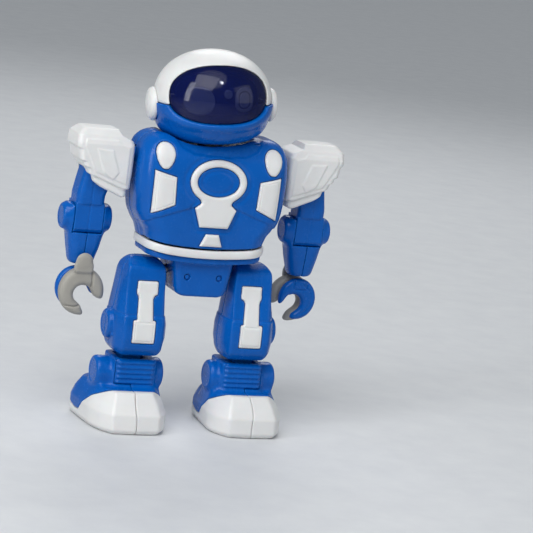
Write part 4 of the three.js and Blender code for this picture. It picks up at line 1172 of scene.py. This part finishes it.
def floor_piece():
    mesh = bpy.data.meshes.new("floor")
    reach = 6.0
    corners = [(-reach, -reach, 0), (reach, -reach, 0), (reach, reach, 0), (-reach, reach, 0)]
    mesh.from_pydata(corners, [], [(0, 1, 2, 3)])
    floor = bpy.data.objects.new("floor", mesh)
    bpy.context.scene.collection.objects.link(floor)
    mesh.materials.append(finish(
        "floor_paint", (214, 216, 218), (208, 210, 213), (214, 216, 218), (0.5, 0.6),
        grain=300, bump=0.02, edge_wear=0.0,
    ))


def softbox(name, place, target, width, height, power):
    lamp = bpy.data.lights.new(name, "AREA")
    lamp.shape = "RECTANGLE"
    lamp.size, lamp.size_y = width, height
    lamp.energy = power
    thing = bpy.data.objects.new(name, lamp)
    thing.location = place
    thing.rotation_euler = (Vector(target) - Vector(place)).to_track_quat("-Z", "Y").to_euler()
    bpy.context.scene.collection.objects.link(thing)


floor_piece()
CHEST = (0, 0, 0.13)  # what the lamps point at
WORLD = {"colour": (0.78, 0.84, 0.9, 1), "strength": 0.27}
softbox("key", (-0.9, -1.1, 1.7), CHEST, 1.4, 1.4, 19)
softbox("window", (-0.75, -0.35, 0.45), CHEST, 0.16, 0.7, 2.6)
softbox("fill", (1.1, -1.0, 0.7), CHEST, 1.0, 1.0, 3)
softbox("rim", (0.5, 1.2, 1.1), CHEST, 0.8, 0.8, 6)
sun = bpy.data.lights.new("sky", "SUN")
sun.energy = 0.75
sun.angle = math.radians(50)
sky = bpy.data.objects.new("sky", sun)
sky.rotation_euler = (math.radians(28), math.radians(-16), 0)
bpy.context.scene.collection.objects.link(sky)
world = bpy.data.worlds.new("studio")
world.use_nodes = True
world.node_tree.nodes["Background"].inputs["Color"].default_value = WORLD["colour"]
world.node_tree.nodes["Background"].inputs["Strength"].default_value = WORLD["strength"]
bpy.context.scene.world = world
bpy.context.scene.view_settings.view_transform = "Standard"

YAW = math.radians(-20.885)
PITCH = math.radians(10.159)
ROLL = math.radians(7.396)
DISTANCE = 1.5396
FOCAL_LENGTH, SENSOR_WIDTH = 167.25, 36
SHIFT = (0.1285, -0.0591)  # puts the robot where the photograph has it
AIM = Vector((0, CENTRING_Y * MM, 0.12))
level_forward = Vector((-math.sin(YAW), math.cos(YAW), 0))
level_right = Vector((math.cos(YAW), math.sin(YAW), 0))
up = Vector((0, 0, 1))
forward = level_forward * math.cos(PITCH) - up * math.sin(PITCH)
above = level_forward * math.sin(PITCH) + up * math.cos(PITCH)
camera_x = level_right * math.cos(ROLL) + above * math.sin(ROLL)
camera_y = above * math.cos(ROLL) - level_right * math.sin(ROLL)
lens = bpy.data.cameras.new("camera")
lens.lens = FOCAL_LENGTH
lens.sensor_width = SENSOR_WIDTH
lens.shift_x, lens.shift_y = SHIFT
camera = bpy.data.objects.new("camera", lens)
place = AIM - forward * DISTANCE
camera.matrix_world = Matrix((
    (camera_x.x, camera_y.x, -forward.x, place.x),
    (camera_x.y, camera_y.y, -forward.y, place.y),
    (camera_x.z, camera_y.z, -forward.z, place.z),
    (0, 0, 0, 1),
))
bpy.context.scene.collection.objects.link(camera)
bpy.context.scene.camera = camera
